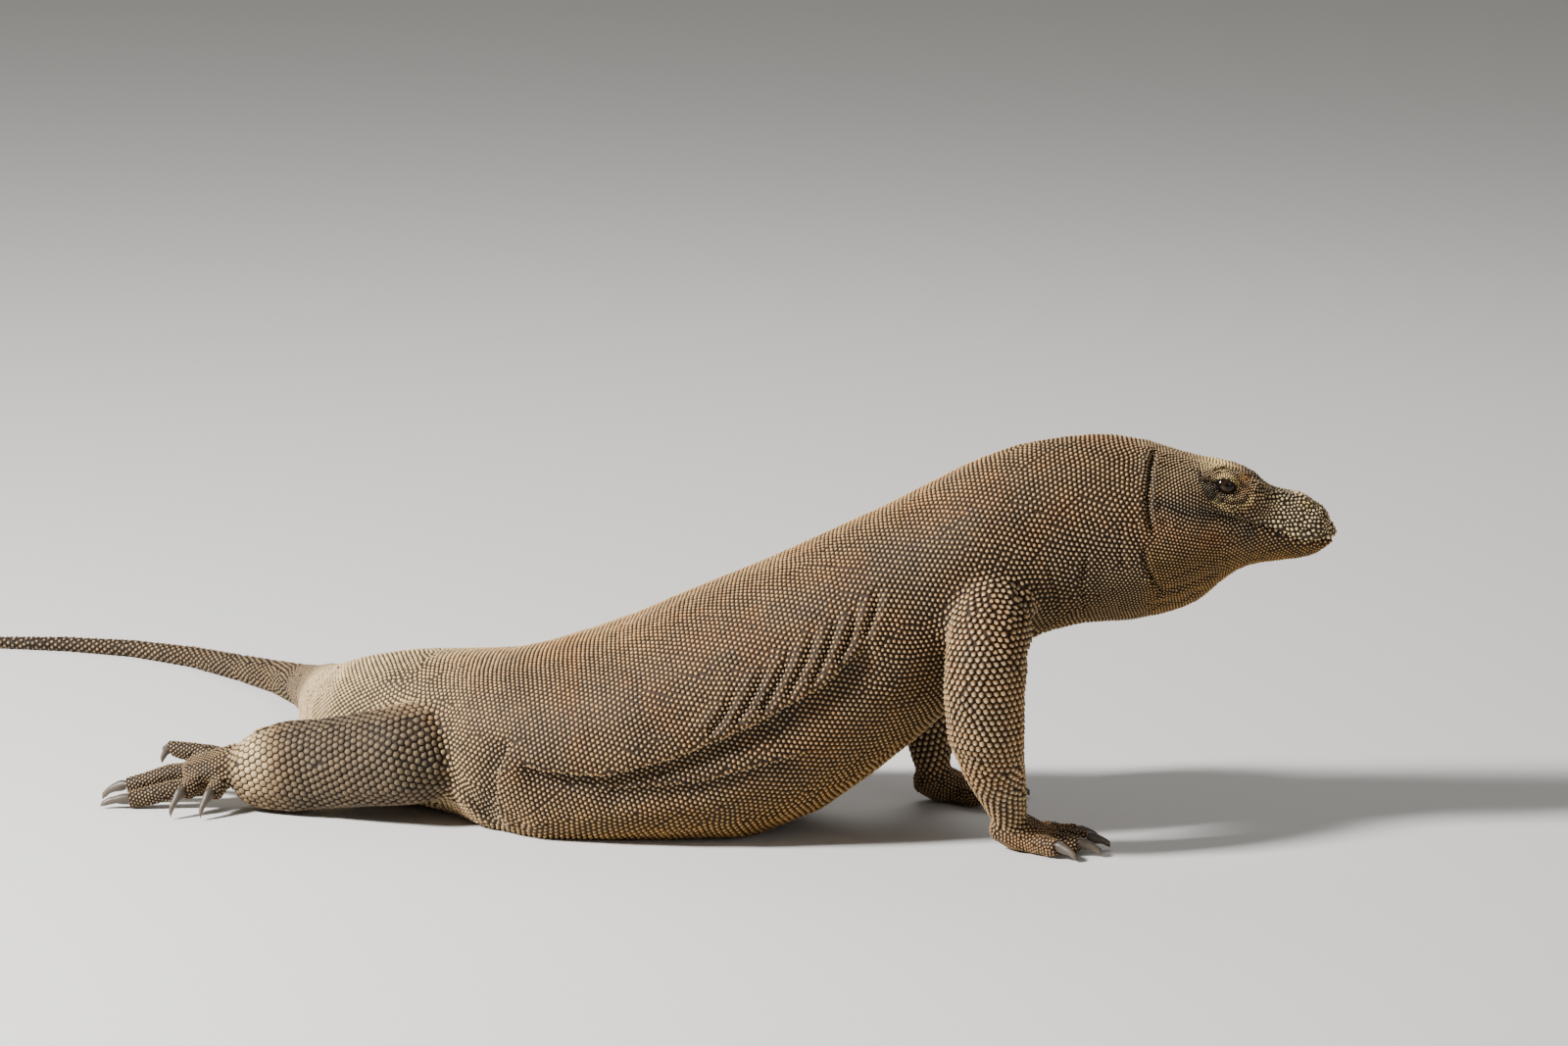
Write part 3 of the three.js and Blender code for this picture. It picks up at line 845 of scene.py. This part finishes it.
def outlines(roots, across, lie, normals, pitch):
    """The radius of each scale towards its six corners, and the angle of the first corner."""
    tree = KDTree(len(roots))
    for number, root in enumerate(roots.tolist()):
        tree.insert(root, number)
    tree.balance()
    near = np.array([[n for _, n, _ in tree.find_n(root, NEAR + 1)][1:] for root in roots.tolist()])
    offset = roots[near] - roots[:, None]
    u = np.einsum("ijk,ik->ij", offset, across)
    v = np.einsum("ijk,ik->ij", offset, lie)
    length = np.hypot(u, v)
    facing = np.einsum("ijk,ik->ij", normals[near], normals) > 0.2
    counted = facing & (length < FAR * pitch[:, None]) & (length > 1e-6)
    close = counted & (length < CLOSE * pitch[:, None])
    turn = np.where(close, np.exp(6j * np.arctan2(v, u)), 0).sum(1)
    phase = np.angle(turn) / 6
    corners = phase[:, None] + np.radians(30 + 60 * np.arange(6))
    radius = np.full(corners.shape, 1.0)
    for k in range(6):
        toward = u * np.cos(corners[:, k : k + 1]) + v * np.sin(corners[:, k : k + 1])
        bound = np.where(counted & (toward > 0.05 * length), length**2 / 2 / np.maximum(toward, 1e-6), 1.0)
        radius[:, k] = bound.min(1)
    return np.minimum(radius, WIDEST * pitch[:, None]), corners


BASE_DEPTH = 0.35  # how deep a scale's foot sits in the skin, as a share of its height
UNEVEN_HEIGHT = (0.85, 1.15)  # least and most height of a scale, as a share of its kind's
SHOULDER = 0.62  # height of the ring under the top, as a share
PATCH_RADIUS = 0.0015  # of each scale's patch on the unwrap
MARGIN = 0.002  # left free round the unwrap


def scale_mesh(name, group):
    """One mesh of closed domes, six-sided, each with its foot in the skin."""
    roots, across, lie, normals = group["roots"], group["across"], group["lie"], group["normals"]
    count = len(roots)
    radius = group["radius"] * group["fill"][:, None]
    cosine = (radius * np.cos(group["corners"]))[:, :, None]
    sine = (radius * np.sin(group["corners"]))[:, :, None]
    spoke = cosine * across[:, None] + sine * lie[:, None]
    height = group["height"][:, None, None]
    up = normals[:, None] * height
    middle = roots[:, None]
    mean_radius = group["radius"].mean(1)[:, None, None]
    lean = (group["keel"][:, None, None] * mean_radius) * lie[:, None]
    foot = middle + spoke - BASE_DEPTH * up
    ring = middle + group["plate"][:, None, None] * spoke + SHOULDER * up + 0.5 * lean
    top = middle + up + lean
    points = np.concatenate([foot, ring, top], axis=1).reshape(-1, 3)
    corner = np.arange(6)
    after = (corner + 1) % 6
    sides = np.column_stack([corner, after, after + 6, corner + 6]).ravel()
    caps = np.column_stack([corner + 6, after + 6, np.full(6, 12)]).ravel()
    loops = np.concatenate([sides, caps, corner[::-1]])
    sizes = np.array([4] * 6 + [3] * 6 + [6])
    starts = np.concatenate([[0], np.cumsum(sizes)[:-1]])
    per_scale = 13  # six points at the foot, six at the shoulder and the top
    shift = np.arange(count)[:, None]
    mesh = bpy.data.meshes.new(name)
    mesh.vertices.add(count * per_scale)
    mesh.vertices.foreach_set("co", points.ravel())
    mesh.loops.add(count * len(loops))
    mesh.loops.foreach_set("vertex_index", (loops + per_scale * shift).ravel())
    mesh.polygons.add(count * len(sizes))
    mesh.polygons.foreach_set("loop_start", (starts + len(loops) * shift).ravel())
    mesh.update(calc_edges=True)
    write_field(mesh, "rise", np.tile([0.0] * 6 + [0.75] * 6 + [1.0], count))
    for key in ("tone", "worn", *MARKS):
        write_field(mesh, key, np.repeat(group[key], per_scale))
    rings = np.zeros((per_scale, 2))
    rings[:6] = HEXAGON
    rings[6:12] = 0.6 * rings[:6]
    run, turn = group["unwrap"].T
    span = (run - run.min()) / (run.max() - run.min())
    places = (np.column_stack([span, turn]) * (1 - 2 * MARGIN) + MARGIN)[:, None] + PATCH_RADIUS * rings
    layer = mesh.uv_layers.new(name="OFBake")
    layer.data.foreach_set("uv", places.reshape(-1, 2)[(loops + per_scale * shift).ravel()].ravel())
    return mesh


def write_field(mesh, name, values):
    field = mesh.attributes.new(name, "FLOAT", "POINT")
    field.data.foreach_set("value", values.astype(np.float32))


def unwrap(points, owner):
    """Each point's place on the hide slit along each part and laid flat: run, and turn from 0 to 1."""
    flat = np.zeros((len(points), 2))
    for place, (name, line) in enumerate(chains().items()):
        here = owner == place
        run, ways, offsets = on_chain(points[here], line)
        side = unit(np.cross(ways, UP) + 1e-9)
        over = np.cross(side, ways)
        angle = np.arctan2(np.einsum("ij,ij->i", offsets, side), np.einsum("ij,ij->i", offsets, over))
        flat[here] = np.column_stack([run, angle / (2 * math.pi) + 0.5])
    return flat


PIECES = {
    "scales_head": ("head", "eye"),
    "scales_jaw": ("lower_jaw",),
    "scales_neck": ("neck",),
    "scales_chest": ("chest",),
    "scales_belly_right": ("belly",),
    "scales_belly_left": ("belly",),
    "scales_hips": ("hips",),
    "scales_tail_base": ("tail_base",),
    "scales_tail": ("tail_middle", "tail_tip"),
    "scales_leg_fore_right": ("leg_fore_right", "foot_fore_right"),
    "scales_leg_fore_left": ("leg_fore_left", "foot_fore_left"),
    "scales_leg_hind_right": ("leg_hind_right", "foot_hind_right"),
    "scales_leg_hind_left": ("leg_hind_left", "foot_hind_left"),
}


# ---- markings and finishes


def patch(flat, centre, radii):
    """1 at the centre and fading out past the radii; places are (forward, height) in millimetres."""
    offset = (flat - np.array(centre) * MM) / (np.array(radii) * MM)
    return np.exp(-((offset**2).sum(1)))


def stripe(flat, line, width):
    """1 on a line and fading out to its sides."""
    across, _ = across_line(flat, np.array(line) * MM)
    return hill(across, width * MM)


def head_markings(points):
    """Pale, warm, dark, rusty and ochre shares on the head, the same on both sides. Pale covers the muzzle,
    the lips and the brow, with painted light on the crown; dark is partly the hide's own colour and partly
    painted shade below the canthus, under the temple and at the lids' edge.
    """
    x, _, z = points.T
    flat = head_flat(points)
    height = flat[:, 1]
    over = z - mouth_height(x)
    opening = eye_openings(points)
    muzzle = ease(x, 0.705, 0.745) * ease(over, -1 * MM, 2 * MM)
    lip = muzzle * hill(over - 5 * MM, 4 * MM)
    pale = 0.7 * muzzle + 0.5 * lip + 0.4 * patch(flat, (672, 440), (18, 9))
    # painted light: the top of the head is paler
    pale += 0.2 * ease(height, 0.40, 0.43)
    warm = 0.9 * ease(height, 0.352, 0.325)
    warm += 0.6 * ease(x, 0.70, 0.76) * ease(over, -3 * MM, -8 * MM)
    rust = 0.95 * patch(flat, (703, 421), (8, 5)) + 0.7 * patch(flat, (668, 350), (17, 9))
    # painted shade below the ridge that runs from the eye to the nostril
    dark = 0.8 * stripe(flat, [(708, 431), (722, 423), (746, 409), (760, 402)], 4.5)
    # a dark band under the temple: partly the hide's own colour, partly painted shadow under the temple's
    # bulge
    dark += 0.6 * stripe(flat, [(602, 392), (640, 383), (680, 378), (708, 364)], 9)
    dark += 0.25 * ease(height, 0.36, 0.39) * ease(x, 0.73, 0.69)
    dark += 0.35 * patch(flat, (715, 360), (26, 9))
    # painted shade at the lids' edge, where they meet the eyeball
    dark += 0.95 * ease(opening, 1.14, 1.04)
    ochre = 1.0 * hill(opening - 1.35, 0.2) + 0.85 * patch(flat, (672, 438), (17, 8))
    ochre += 0.9 * patch(flat, (777, 391), (6, 5)) + 0.25 * lip
    ochre += 0.6 * stripe(flat, [(657, 412), (663, 398), (684, 385), (704, 387.5), (713, 399)], 2.8)
    rust *= ease(opening, 1.2, 1.7)
    return pale, warm, dark, rust, ochre


def markings(hide, parts):
    """How pale, warm, dark, rusty and ochre the hide is at each point, each from 0 to 1. Pale is dust, with
    painted light on the crown; dark is partly the hide's own colour and partly painted shade in the hollows,
    on the neck and chest and on the face.
    """
    points = hide.points
    x = points[:, 0]
    down = -hide.normals[:, 2]
    marks = np.zeros((len(points), len(MARKS)))
    pale, warm, dark, _, _ = marks.T
    spine = chains()["spine"]
    run, _, _ = on_chain(points, spine)
    tail_base, _, _ = on_chain(middle_of("tail_base")[None], spine)
    tail = ease(run, tail_base[0] + 0.03, tail_base[0] - 0.17) * named(*SPINE)[parts]
    rear = named("belly", "hips", "tail_base", "tail_middle")[parts]
    pale += 0.75 * ease(-x, 0.12, 0.34) * rear * (1 - tail)
    warm += 0.18 * ease(-x, 0.16, 0.30) * rear * (1 - tail)
    dark += 0.75 * tail
    hind_leg = named("leg_hind")[parts]
    hind_foot = named("foot_hind")[parts]
    shank = hind_leg * ease(lengths(points - middle_of("hips")), 0.06, 0.12)
    heel_dust = patch(hide.facing(-1), (-466, 92), (28, 54))
    pale += 0.9 * np.maximum(shank, hind_foot) * heel_dust
    pale += 0.5 * (hind_leg - shank)
    dark += (0.9 * shank + 0.7 * hind_foot) * (1 - heel_dust)
    dark += 0.35 * named("leg_fore", "foot_fore")[parts]
    neck = named("neck")[parts]
    warm += 0.85 * named("chest", "belly")[parts] * ease(down, 0.05, 0.75) * ease(x, -0.17, 0.0)
    warm += 0.75 * ease(down, -0.1, 0.7) * neck
    # darker neck sides and front of the chest: partly the hide's own colour, partly painted shadow
    dark += 0.4 * neck * ease(down, -0.5, 0.3)
    dark += 0.45 * named("chest")[parts] * ease(x, 0.24, 0.40) * ease(down, -0.7, 0.1)
    marks = hide.spread(marks, rounds=30)
    head = named("head", "lower_jaw", "eye")[parts]
    marks[head] += np.column_stack(head_markings(points[head]))
    # painted shade: darker where the folds, creases and pits press the hide in
    marks[:, MARKS.index("dark")] += ease(hide.hollow, 0.8 * MM, 6 * MM) * np.where(head, 0.6, 0.5)
    return np.clip(marks.T, 0, 1)


def set_inputs(tree, node, links):
    """Joins or sets a node's inputs: links has a socket or a value for each one."""
    for key, source in links.items():
        if isinstance(source, bpy.types.NodeSocket):
            tree.links.new(source, node.inputs[key])
        else:
            node.inputs[key].default_value = source


def add_node(tree, kind, links, **settings):
    """A node with these inputs and settings."""
    node = tree.nodes.new(kind)
    for key, value in settings.items():
        setattr(node, key, value)
    set_inputs(tree, node, links)
    return node


def attribute(tree, name):
    return add_node(tree, "ShaderNodeAttribute", {}, attribute_name=name).outputs["Fac"]


def noise(tree, size, detail):
    """Noise with features of this size."""
    place = add_node(tree, "ShaderNodeTexCoord", {}).outputs["Object"]
    links = {"Vector": place, "Scale": 1 / size, "Detail": detail}
    return add_node(tree, "ShaderNodeTexNoise", links).outputs["Fac"]


def new_material(name):
    material = bpy.data.materials.new(name)
    material.use_nodes = True
    tree = material.node_tree
    return material, tree, tree.nodes["Principled BSDF"]


def blend(tree, share, first, second):
    """The first colour turning into the second one by the share."""
    node = add_node(tree, "ShaderNodeMix", {0: share, 6: first, 7: second}, data_type="RGBA")
    return node.outputs[2]


def hide_material(name, colours):
    """Scaly reptile hide, dry keratin over dark skin: dull and dusty, with tops that are paler, partly from
    wear and partly as painted highlight, and with painted shade in the gaps.
    """
    material, tree, shader = new_material(name)

    def ranged(value, low, high, first=0.0, second=1.0):
        links = {"Value": value, "From Min": low, "From Max": high, "To Min": first, "To Max": second}
        return add_node(tree, "ShaderNodeMapRange", links).outputs["Result"]

    def lit_by(colour, value):
        node = add_node(tree, "ShaderNodeVectorMath", {0: colour, "Scale": value}, operation="SCALE")
        return node.outputs[0]

    # blotches as wide as a hand, and speckle as wide as two or three scales
    base = blend(tree, ranged(noise(tree, 90 * MM, 3.0), 0.45, 0.65, 0, 0.35), colours.tan, colours.dark)
    base = blend(tree, ranged(noise(tree, 60 * MM, 3.0), 0.48, 0.6, 0, 0.35), base, colours.rust)
    for mark in MARKS:
        base = blend(tree, attribute(tree, mark), base, getattr(colours, mark))
    speckle = ranged(noise(tree, 14 * MM, 2.0), 0.3, 0.7, 0.72, 1.22)
    base = lit_by(base, speckle)
    base = lit_by(base, ranged(attribute(tree, "tone"), -1, 2, 0.3, 1.7))
    # paler tops of the scales: partly wear, partly painted highlight
    top = ranged(attribute(tree, "rise"), 0.78, 1.0)
    top = add_node(tree, "ShaderNodeMath", {0: top, 1: attribute(tree, "worn")}, operation="MULTIPLY")
    worn = blend(tree, top.outputs["Value"], base, colours.worn)
    # the gaps and the low sides of each scale take the seam colour: partly dark skin, partly painted shade
    gap = blend(tree, 0.9, base, colours.seam)
    shown = blend(tree, ranged(attribute(tree, "rise"), 0.25, 0.72), gap, worn)
    grain = noise(tree, 1.6 * MM, 2.0)
    bump = add_node(tree, "ShaderNodeBump", {"Height": grain, "Strength": 0.25, "Distance": 0.4 * MM})
    links = {"Base Color": shown, "Roughness": 0.68, "IOR": 1.5, "Specular IOR Level": 0.25}
    set_inputs(tree, shader, {**links, "Normal": bump.outputs["Normal"]})
    return material


def horn_material(colours):
    """Claw horn, grown in layers along its length: slightly glossy, streaked and darker to the root."""
    material, tree, shader = new_material("claw_horn")
    base = blend(tree, noise(tree, 4 * MM, 4.0), colours.horn, linear("#52473a"))
    shown = blend(tree, attribute(tree, "along"), linear("#3a3026"), base)
    set_inputs(tree, shader, {"Base Color": shown, "Roughness": 0.5, "IOR": 1.55})
    return material


def eye_material(colours):
    """Wet eye: a round black pupil in a dark brown iris, under a clear glossy surface."""
    material, tree, shader = new_material("eyeball")
    ramp = add_node(tree, "ShaderNodeValToRGB", {"Fac": attribute(tree, "gaze")})
    stops = (
        (0.0, linear("#050403")),
        (0.27, linear("#060403")),
        (0.31, tuple(colours.iris)),
        (0.55, linear("#2b1b10")),
        (0.68, linear("#1c120b")),
        (0.8, linear("#140d09")),
    )
    elements = ramp.color_ramp.elements
    while len(elements) < len(stops):
        elements.new(0.5)
    for element, (position, colour) in zip(elements, stops):
        element.position = position
        element.color = colour
    set_inputs(tree, shader, {"Base Color": ramp.outputs["Color"], "Roughness": 0.07, "IOR": 1.38})
    return material


# ---- claws and eyes


HORN_STEPS = 14


def horn_template():
    """A round rod one unit long on +X, a unit in radius, drawn out ring by ring and closed."""
    turn = (0, -math.pi / 2, 0)
    bpy.ops.mesh.primitive_circle_add(vertices=12, radius=1, fill_type="NGON", rotation=turn)
    template = bpy.context.active_object
    select_only(template)
    bpy.ops.object.transform_apply(location=False, rotation=True, scale=False)
    with edit_mode(template):
        bpy.ops.mesh.select_all(action="SELECT")
        for _ in range(HORN_STEPS):
            bpy.ops.mesh.extrude_region_move(TRANSFORM_OT_translate={"value": (1 / HORN_STEPS, 0, 0)})
        bpy.ops.mesh.select_all(action="SELECT")
        bpy.ops.mesh.normals_make_consistent(inside=False)
    return template


ROOT_DEPTH = 5 * MM  # how far a claw reaches back into its toe
CLAW_SWELL = 1.12  # the rod is rounder than the faceted solid
SLICES = 8  # places along a claw solid where its middle and sizes are taken
HALF_SLICE = 1.6 * MM
CORNEA = 0.6 * MM  # how far the eye bulges over its iris


def on_triangles(mesh, steps=5):
    """Points spread evenly over the triangles of a mesh."""
    points = read(mesh.vertices, "co", 3)
    corners = points[faces_of(mesh)[0]].reshape(-1, 3, 3)
    shares = [(i, j, steps - i - j) for i in range(steps + 1) for j in range(steps + 1 - i)]
    return np.concatenate([np.einsum("j,ijk->ik", np.array(share) / steps, corners) for share in shares])


def claw_path(node):
    """Middles, half heights and half widths of one claw, from inside its toe to its point."""
    points = on_triangles(frame["nodes"][node].data)
    foot = middle_of(node.replace("claw", "foot").rsplit("_", 1)[0])
    middle = points.mean(0)
    axis = np.linalg.svd(points - middle, full_matrices=False)[2][0]
    axis *= math.copysign(1, (middle - foot) @ axis)
    side = unit(np.cross(axis, UP)[None])[0]
    over = np.cross(side, axis)
    run, rise, width = np.array([axis, over, side]) @ (points - middle).T
    stations = np.linspace(run.min() + 1.5 * MM, run.max() - 0.6 * MM, SLICES)
    slices = [np.abs(run - station) < HALF_SLICE for station in stations]
    heights = np.array([(rise[one].max() + rise[one].min()) / 2 for one in slices])
    heights = np.polyval(np.polyfit(stations, heights, 3), stations)
    half_rise, half_width = [np.array([np.ptp(size[one]) / 2 for one in slices]) for size in (rise, width)]
    path = middle + np.outer(stations, axis) + np.outer(heights, over)
    back = foot - path[0]
    back[2] = 0
    root = path[0] + ROOT_DEPTH * back / np.linalg.norm(back)
    path = np.vstack([root, path])
    return path, np.r_[half_rise[0], half_rise], np.r_[half_width[0], half_width], side


def place_claw(template, node):
    """A copy of the rod bent along the middle of one claw solid and narrowed to its point."""
    path, half_rise, half_width, side = claw_path(node)
    mesh = template.data.copy()
    local = read(mesh.vertices, "co", 3)
    share = np.clip(local[:, 0], 0, 1)
    length = runs_of(path)
    at = share * length[-1]

    def on_path(run):
        return np.column_stack([np.interp(run, length, axis) for axis in path.T])

    over = np.cross(side, unit(on_path(at + 3 * MM) - on_path(at - 3 * MM)))
    slim = ease(share, 1.03, 0.88)
    up = local[:, 2] * np.interp(at, length, half_rise) * slim * CLAW_SWELL
    out = local[:, 1] * np.interp(at, length, half_width) * slim * CLAW_SWELL
    bent = on_path(at) + over * up[:, None] + np.outer(out, side)
    mesh.vertices.foreach_set("co", bent.ravel())
    write_field(mesh, "along", share)
    return link(node + "_horn", mesh)


def make_eye(node, material):
    """An eyeball with its poles on the line of sight and a slight bulge over the iris."""
    centre, way = eye_place(node)
    gaze = Vector((0.25, way, 0.05)).normalized()
    bpy.ops.mesh.primitive_uv_sphere_add(
        segments=40,
        ring_count=28,
        radius=EYE_RADIUS,
        location=tuple(centre),
        rotation=gaze.to_track_quat("Z", "Y").to_euler(),
    )
    eye = bpy.context.active_object
    eye.name = node + "_ball"
    select_only(eye)
    bpy.ops.object.transform_apply(location=True, rotation=True, scale=True)
    points = read(eye.data.vertices, "co", 3)
    rays = unit(points - centre)
    angle = np.arccos(np.clip(rays @ np.array(gaze), -1, 1))
    bulge = CORNEA * ease(angle, 0.75, 0.2)
    eye.data.vertices.foreach_set("co", (points + rays * bulge[:, None]).ravel())
    write_field(eye.data, "gaze", angle)
    finish_mesh(eye.data, material)
    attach(eye, "root")
    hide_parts(node)


# ---- operators


SKIN_FACES = 150_000  # triangles that the finished skin keeps


class KOMODO_OT_skin(bpy.types.Operator):
    """Joins the flesh solids into one hide, rounds it and models its folds, lids and lips"""

    bl_idname = "komodo.skin"
    bl_label = "Make the skin"

    def execute(self, context):
        sizes = context.scene.komodo_sizes
        body = flesh_copy()
        body.name = "skin"
        solids = body.data.copy()
        polygons = [face.vertices[:] for face in solids.polygons]
        tree = BVHTree.FromPolygons([vertex.co for vertex in solids.vertices], polygons)
        face_parts = read(solids.attributes["part"].data, "value", 1, np.int32)
        apply_modifier(body, "REMESH", mode="VOXEL", voxel_size=sizes.voxel)
        keep_outer_shell(body)
        points = read(body.data.vertices, "co", 3)
        parts, _, _ = nearest_parts(tree, face_parts, points)
        smooth_hide(Hide(body.data), parts)
        fine = named("head", "lower_jaw", "eye")[parts]
        subdivide_where(body, fine)
        hide = Hide(body.data)
        parts, places, normals = nearest_parts(tree, face_parts, hide.points)
        soft = roundness(hide, parts)
        foot = named("foot")[parts]
        depth = hide.spread(np.where(foot, sizes.foot_coat, sizes.coat), rounds=8)
        fit_inside(hide, places, normals, depth, soft)
        _, places, normals = nearest_parts(tree, face_parts, hide.points)
        fit_inside(hide, places, normals, depth, soft)
        model_folds(hide)
        model_mouth(hide)
        model_face(hide)
        model_lids(hide)
        hide.points[:, 2] = np.maximum(hide.points[:, 2], sizes.rest)
        hide.settle()
        made["hide"] = hide
        made["parts"] = parts
        made["tree"] = BVHTree.FromObject(body, context.evaluated_depsgraph_get())
        hide.mesh = body.data.copy()
        made["marks"] = markings(hide, parts)
        for key, values in zip(MARKS, made["marks"]):
            write_field(body.data, key, values)
        apply_modifier(body, "DECIMATE", ratio=SKIN_FACES / (2 * len(body.data.polygons)))
        finish_mesh(body.data, hide_material("hide_skin", context.scene.komodo_colours))
        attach(body, "root")
        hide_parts(*FLESH)
        return {"FINISHED"}


class KOMODO_OT_scales(bpy.types.Operator):
    """Lays separate scales over the hide in rows, smallest on the face and feet"""

    bl_idname = "komodo.scales"
    bl_label = "Lay the scales"

    def execute(self, context):
        if "hide" not in made:
            raise RuntimeError("make the skin first")
        hide = made["hide"]
        parts = made["parts"]
        pitch = pitch_of_scales(hide, parts, context.scene.komodo_sizes)
        lie = lie_of_scales(hide, parts)
        normals = unit(hide.spread(hide.normals, rounds=3))
        rank = rank_along(hide.points, chain_of(parts))
        corners, starts = faces_of(hide.mesh)
        first = corners[starts]
        by_face = [field[first].tolist() for field in (pitch, lie, normals, rank)]
        snout = hide.points[hide.points[:, 0].argmax()]
        roots, faces = lay_roots(made["tree"], *by_face, tuple(snout))
        at = first[faces]
        random = np.random.default_rng(SEED)
        shapes = np.zeros((len(PART_NAMES), 5))
        for prefixes, shape in SHAPES.items():
            shapes[named(*prefixes)] = shape
        tall, keel, worn, fill, plate = hide.spread(shapes[parts], rounds=15)[at].T
        marks = dict(zip(MARKS, made["marks"][:, at]))
        across = np.cross(normals[at], lie[at])
        radius, angles = outlines(roots, across, lie[at], normals[at], pitch[at])
        fields = {
            "roots": roots,
            "across": across,
            "lie": lie[at],
            "normals": normals[at],
            "radius": radius,
            "corners": angles,
            "height": tall * pitch[at] * random.uniform(*UNEVEN_HEIGHT, len(roots)),
            "keel": keel,
            "uneven": 1 + 1.4 * ease(roots[:, 0], 0.69, 0.73),
            "worn": np.clip(worn + 0.7 * marks["pale"] * ease(roots[:, 0], 0.6, 0.65), 0, 1),
            "fill": fill,
            "plate": plate,
            "unwrap": unwrap(roots, chain_of(parts)[at]),
            **marks,
        }
        open_eye = np.zeros(len(roots), bool)
        for name in EYES:
            open_eye |= lengths(roots - middle_of(name)) < EYE_RADIUS + 0.6 * MM
        right = roots[:, 1] < middle_of("belly")[1]
        material = hide_material("hide_scales", context.scene.komodo_colours)
        for name, prefixes in PIECES.items():
            chosen = named(*prefixes)[parts[at]] & ~open_eye
            if prefixes == ("belly",):  # in two halves, right and left; in two halves, since no piece may be too large
                chosen &= right == name.endswith("right")
            group = {key: values[chosen] for key, values in fields.items()}
            group["tone"] = 0.5 + group["uneven"] * (random.random(chosen.sum()) - 0.5)
            piece = link(name, scale_mesh(name, group))
            finish_mesh(piece.data, material)
            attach(piece, "root")
        return {"FINISHED"}


class KOMODO_OT_eyes(bpy.types.Operator):
    """Sets a glossy eyeball in each socket"""

    bl_idname = "komodo.eyes"
    bl_label = "Set the eyes"

    def execute(self, context):
        material = eye_material(context.scene.komodo_colours)
        for node in EYES:
            make_eye(node, material)
        return {"FINISHED"}


class KOMODO_OT_claws(bpy.types.Operator):
    """Grows a curved horn claw from each toe"""

    bl_idname = "komodo.claws"
    bl_label = "Grow the claws"

    def execute(self, context):
        material = horn_material(context.scene.komodo_colours)
        template = horn_template()
        for node in CLAWS:
            claw = place_claw(template, node)
            finish_mesh(claw.data, material)
            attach(claw, "root")
            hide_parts(node)
        bpy.data.objects.remove(template)
        return {"FINISHED"}


class KOMODO_PT_panel(bpy.types.Panel):
    """Lists the steps that make the model"""

    bl_idname = "KOMODO_PT_panel"
    bl_label = "Komodo Dragon"
    bl_space_type = "VIEW_3D"
    bl_region_type = "UI"
    bl_category = "Komodo"

    def draw(self, context):
        for step in STEPS:
            self.layout.operator("komodo." + step)


AIM = Vector((0.16675, -0.060, 0.3735))  # the camera looks at this place
CAMERA_DISTANCE = 9.0
LENS = 176.1
FLOOR_SIZE = 30
LIGHTS = (
    # name, place, side length and power
    ("key", (-3.9, -1.7, 3.4), 0.8, 900),
    ("fill", (3.4, -2.8, 2.0), 2.5, 24),
    ("back", (0.6, 2.6, 3.0), 2.5, 40),
)
LIGHTS_AIM = Vector((0.1, 0, 0.2))


class KOMODO_OT_stage(bpy.types.Operator):
    """Lays a pale floor, hangs soft studio lights and sets the camera"""

    bl_idname = "komodo.stage"
    bl_label = "Set the stage"

    def execute(self, context):
        deselect()
        bpy.ops.mesh.primitive_plane_add(size=FLOOR_SIZE, location=(0, 0, 0))
        floor = context.active_object
        floor.name = "floor"
        material, tree, shader = new_material("pale_floor")
        set_inputs(tree, shader, {"Base Color": linear("#d8d6d2"), "Roughness": 0.8})
        floor.data.materials.append(material)
        back = Vector((0, -math.cos(VIEW_TILT), math.sin(VIEW_TILT)))
        turn = (math.pi / 2 - VIEW_TILT, 0, 0)
        bpy.ops.object.camera_add(location=AIM + CAMERA_DISTANCE * back, rotation=turn)
        camera = context.active_object
        camera.data.lens = LENS
        camera.data.sensor_width = 36
        context.scene.camera = camera
        for name, place, size, watts in LIGHTS:
            bpy.ops.object.light_add(type="AREA", location=place)
            lamp = context.active_object
            lamp.name = name
            lamp.data.size = size
            lamp.data.energy = watts
            lamp.rotation_euler = (LIGHTS_AIM - Vector(place)).to_track_quat("-Z", "Y").to_euler()
        world = bpy.data.worlds.new("studio")
        world.use_nodes = True
        sky = world.node_tree
        set_inputs(sky, sky.nodes["Background"], {"Color": linear("#f1eeea"), "Strength": 0.17})
        context.scene.world = world
        return {"FINISHED"}


CLASSES = (
    KomodoSizes,
    KomodoColours,
    KOMODO_OT_skin,
    KOMODO_OT_scales,
    KOMODO_OT_eyes,
    KOMODO_OT_claws,
    KOMODO_OT_stage,
    KOMODO_PT_panel,
)
STEPS = ("skin", "scales", "eyes", "claws", "stage")


def register():
    for one in CLASSES:
        bpy.utils.register_class(one)
    bpy.types.Scene.komodo_sizes = bpy.props.PointerProperty(type=KomodoSizes)
    bpy.types.Scene.komodo_colours = bpy.props.PointerProperty(type=KomodoColours)


def unregister():
    del bpy.types.Scene.komodo_sizes
    del bpy.types.Scene.komodo_colours
    for one in reversed(CLASSES):
        bpy.utils.unregister_class(one)


def main():
    register()
    for step in STEPS:
        getattr(bpy.ops.komodo, step)()


if __name__ == "__main__":
    main()
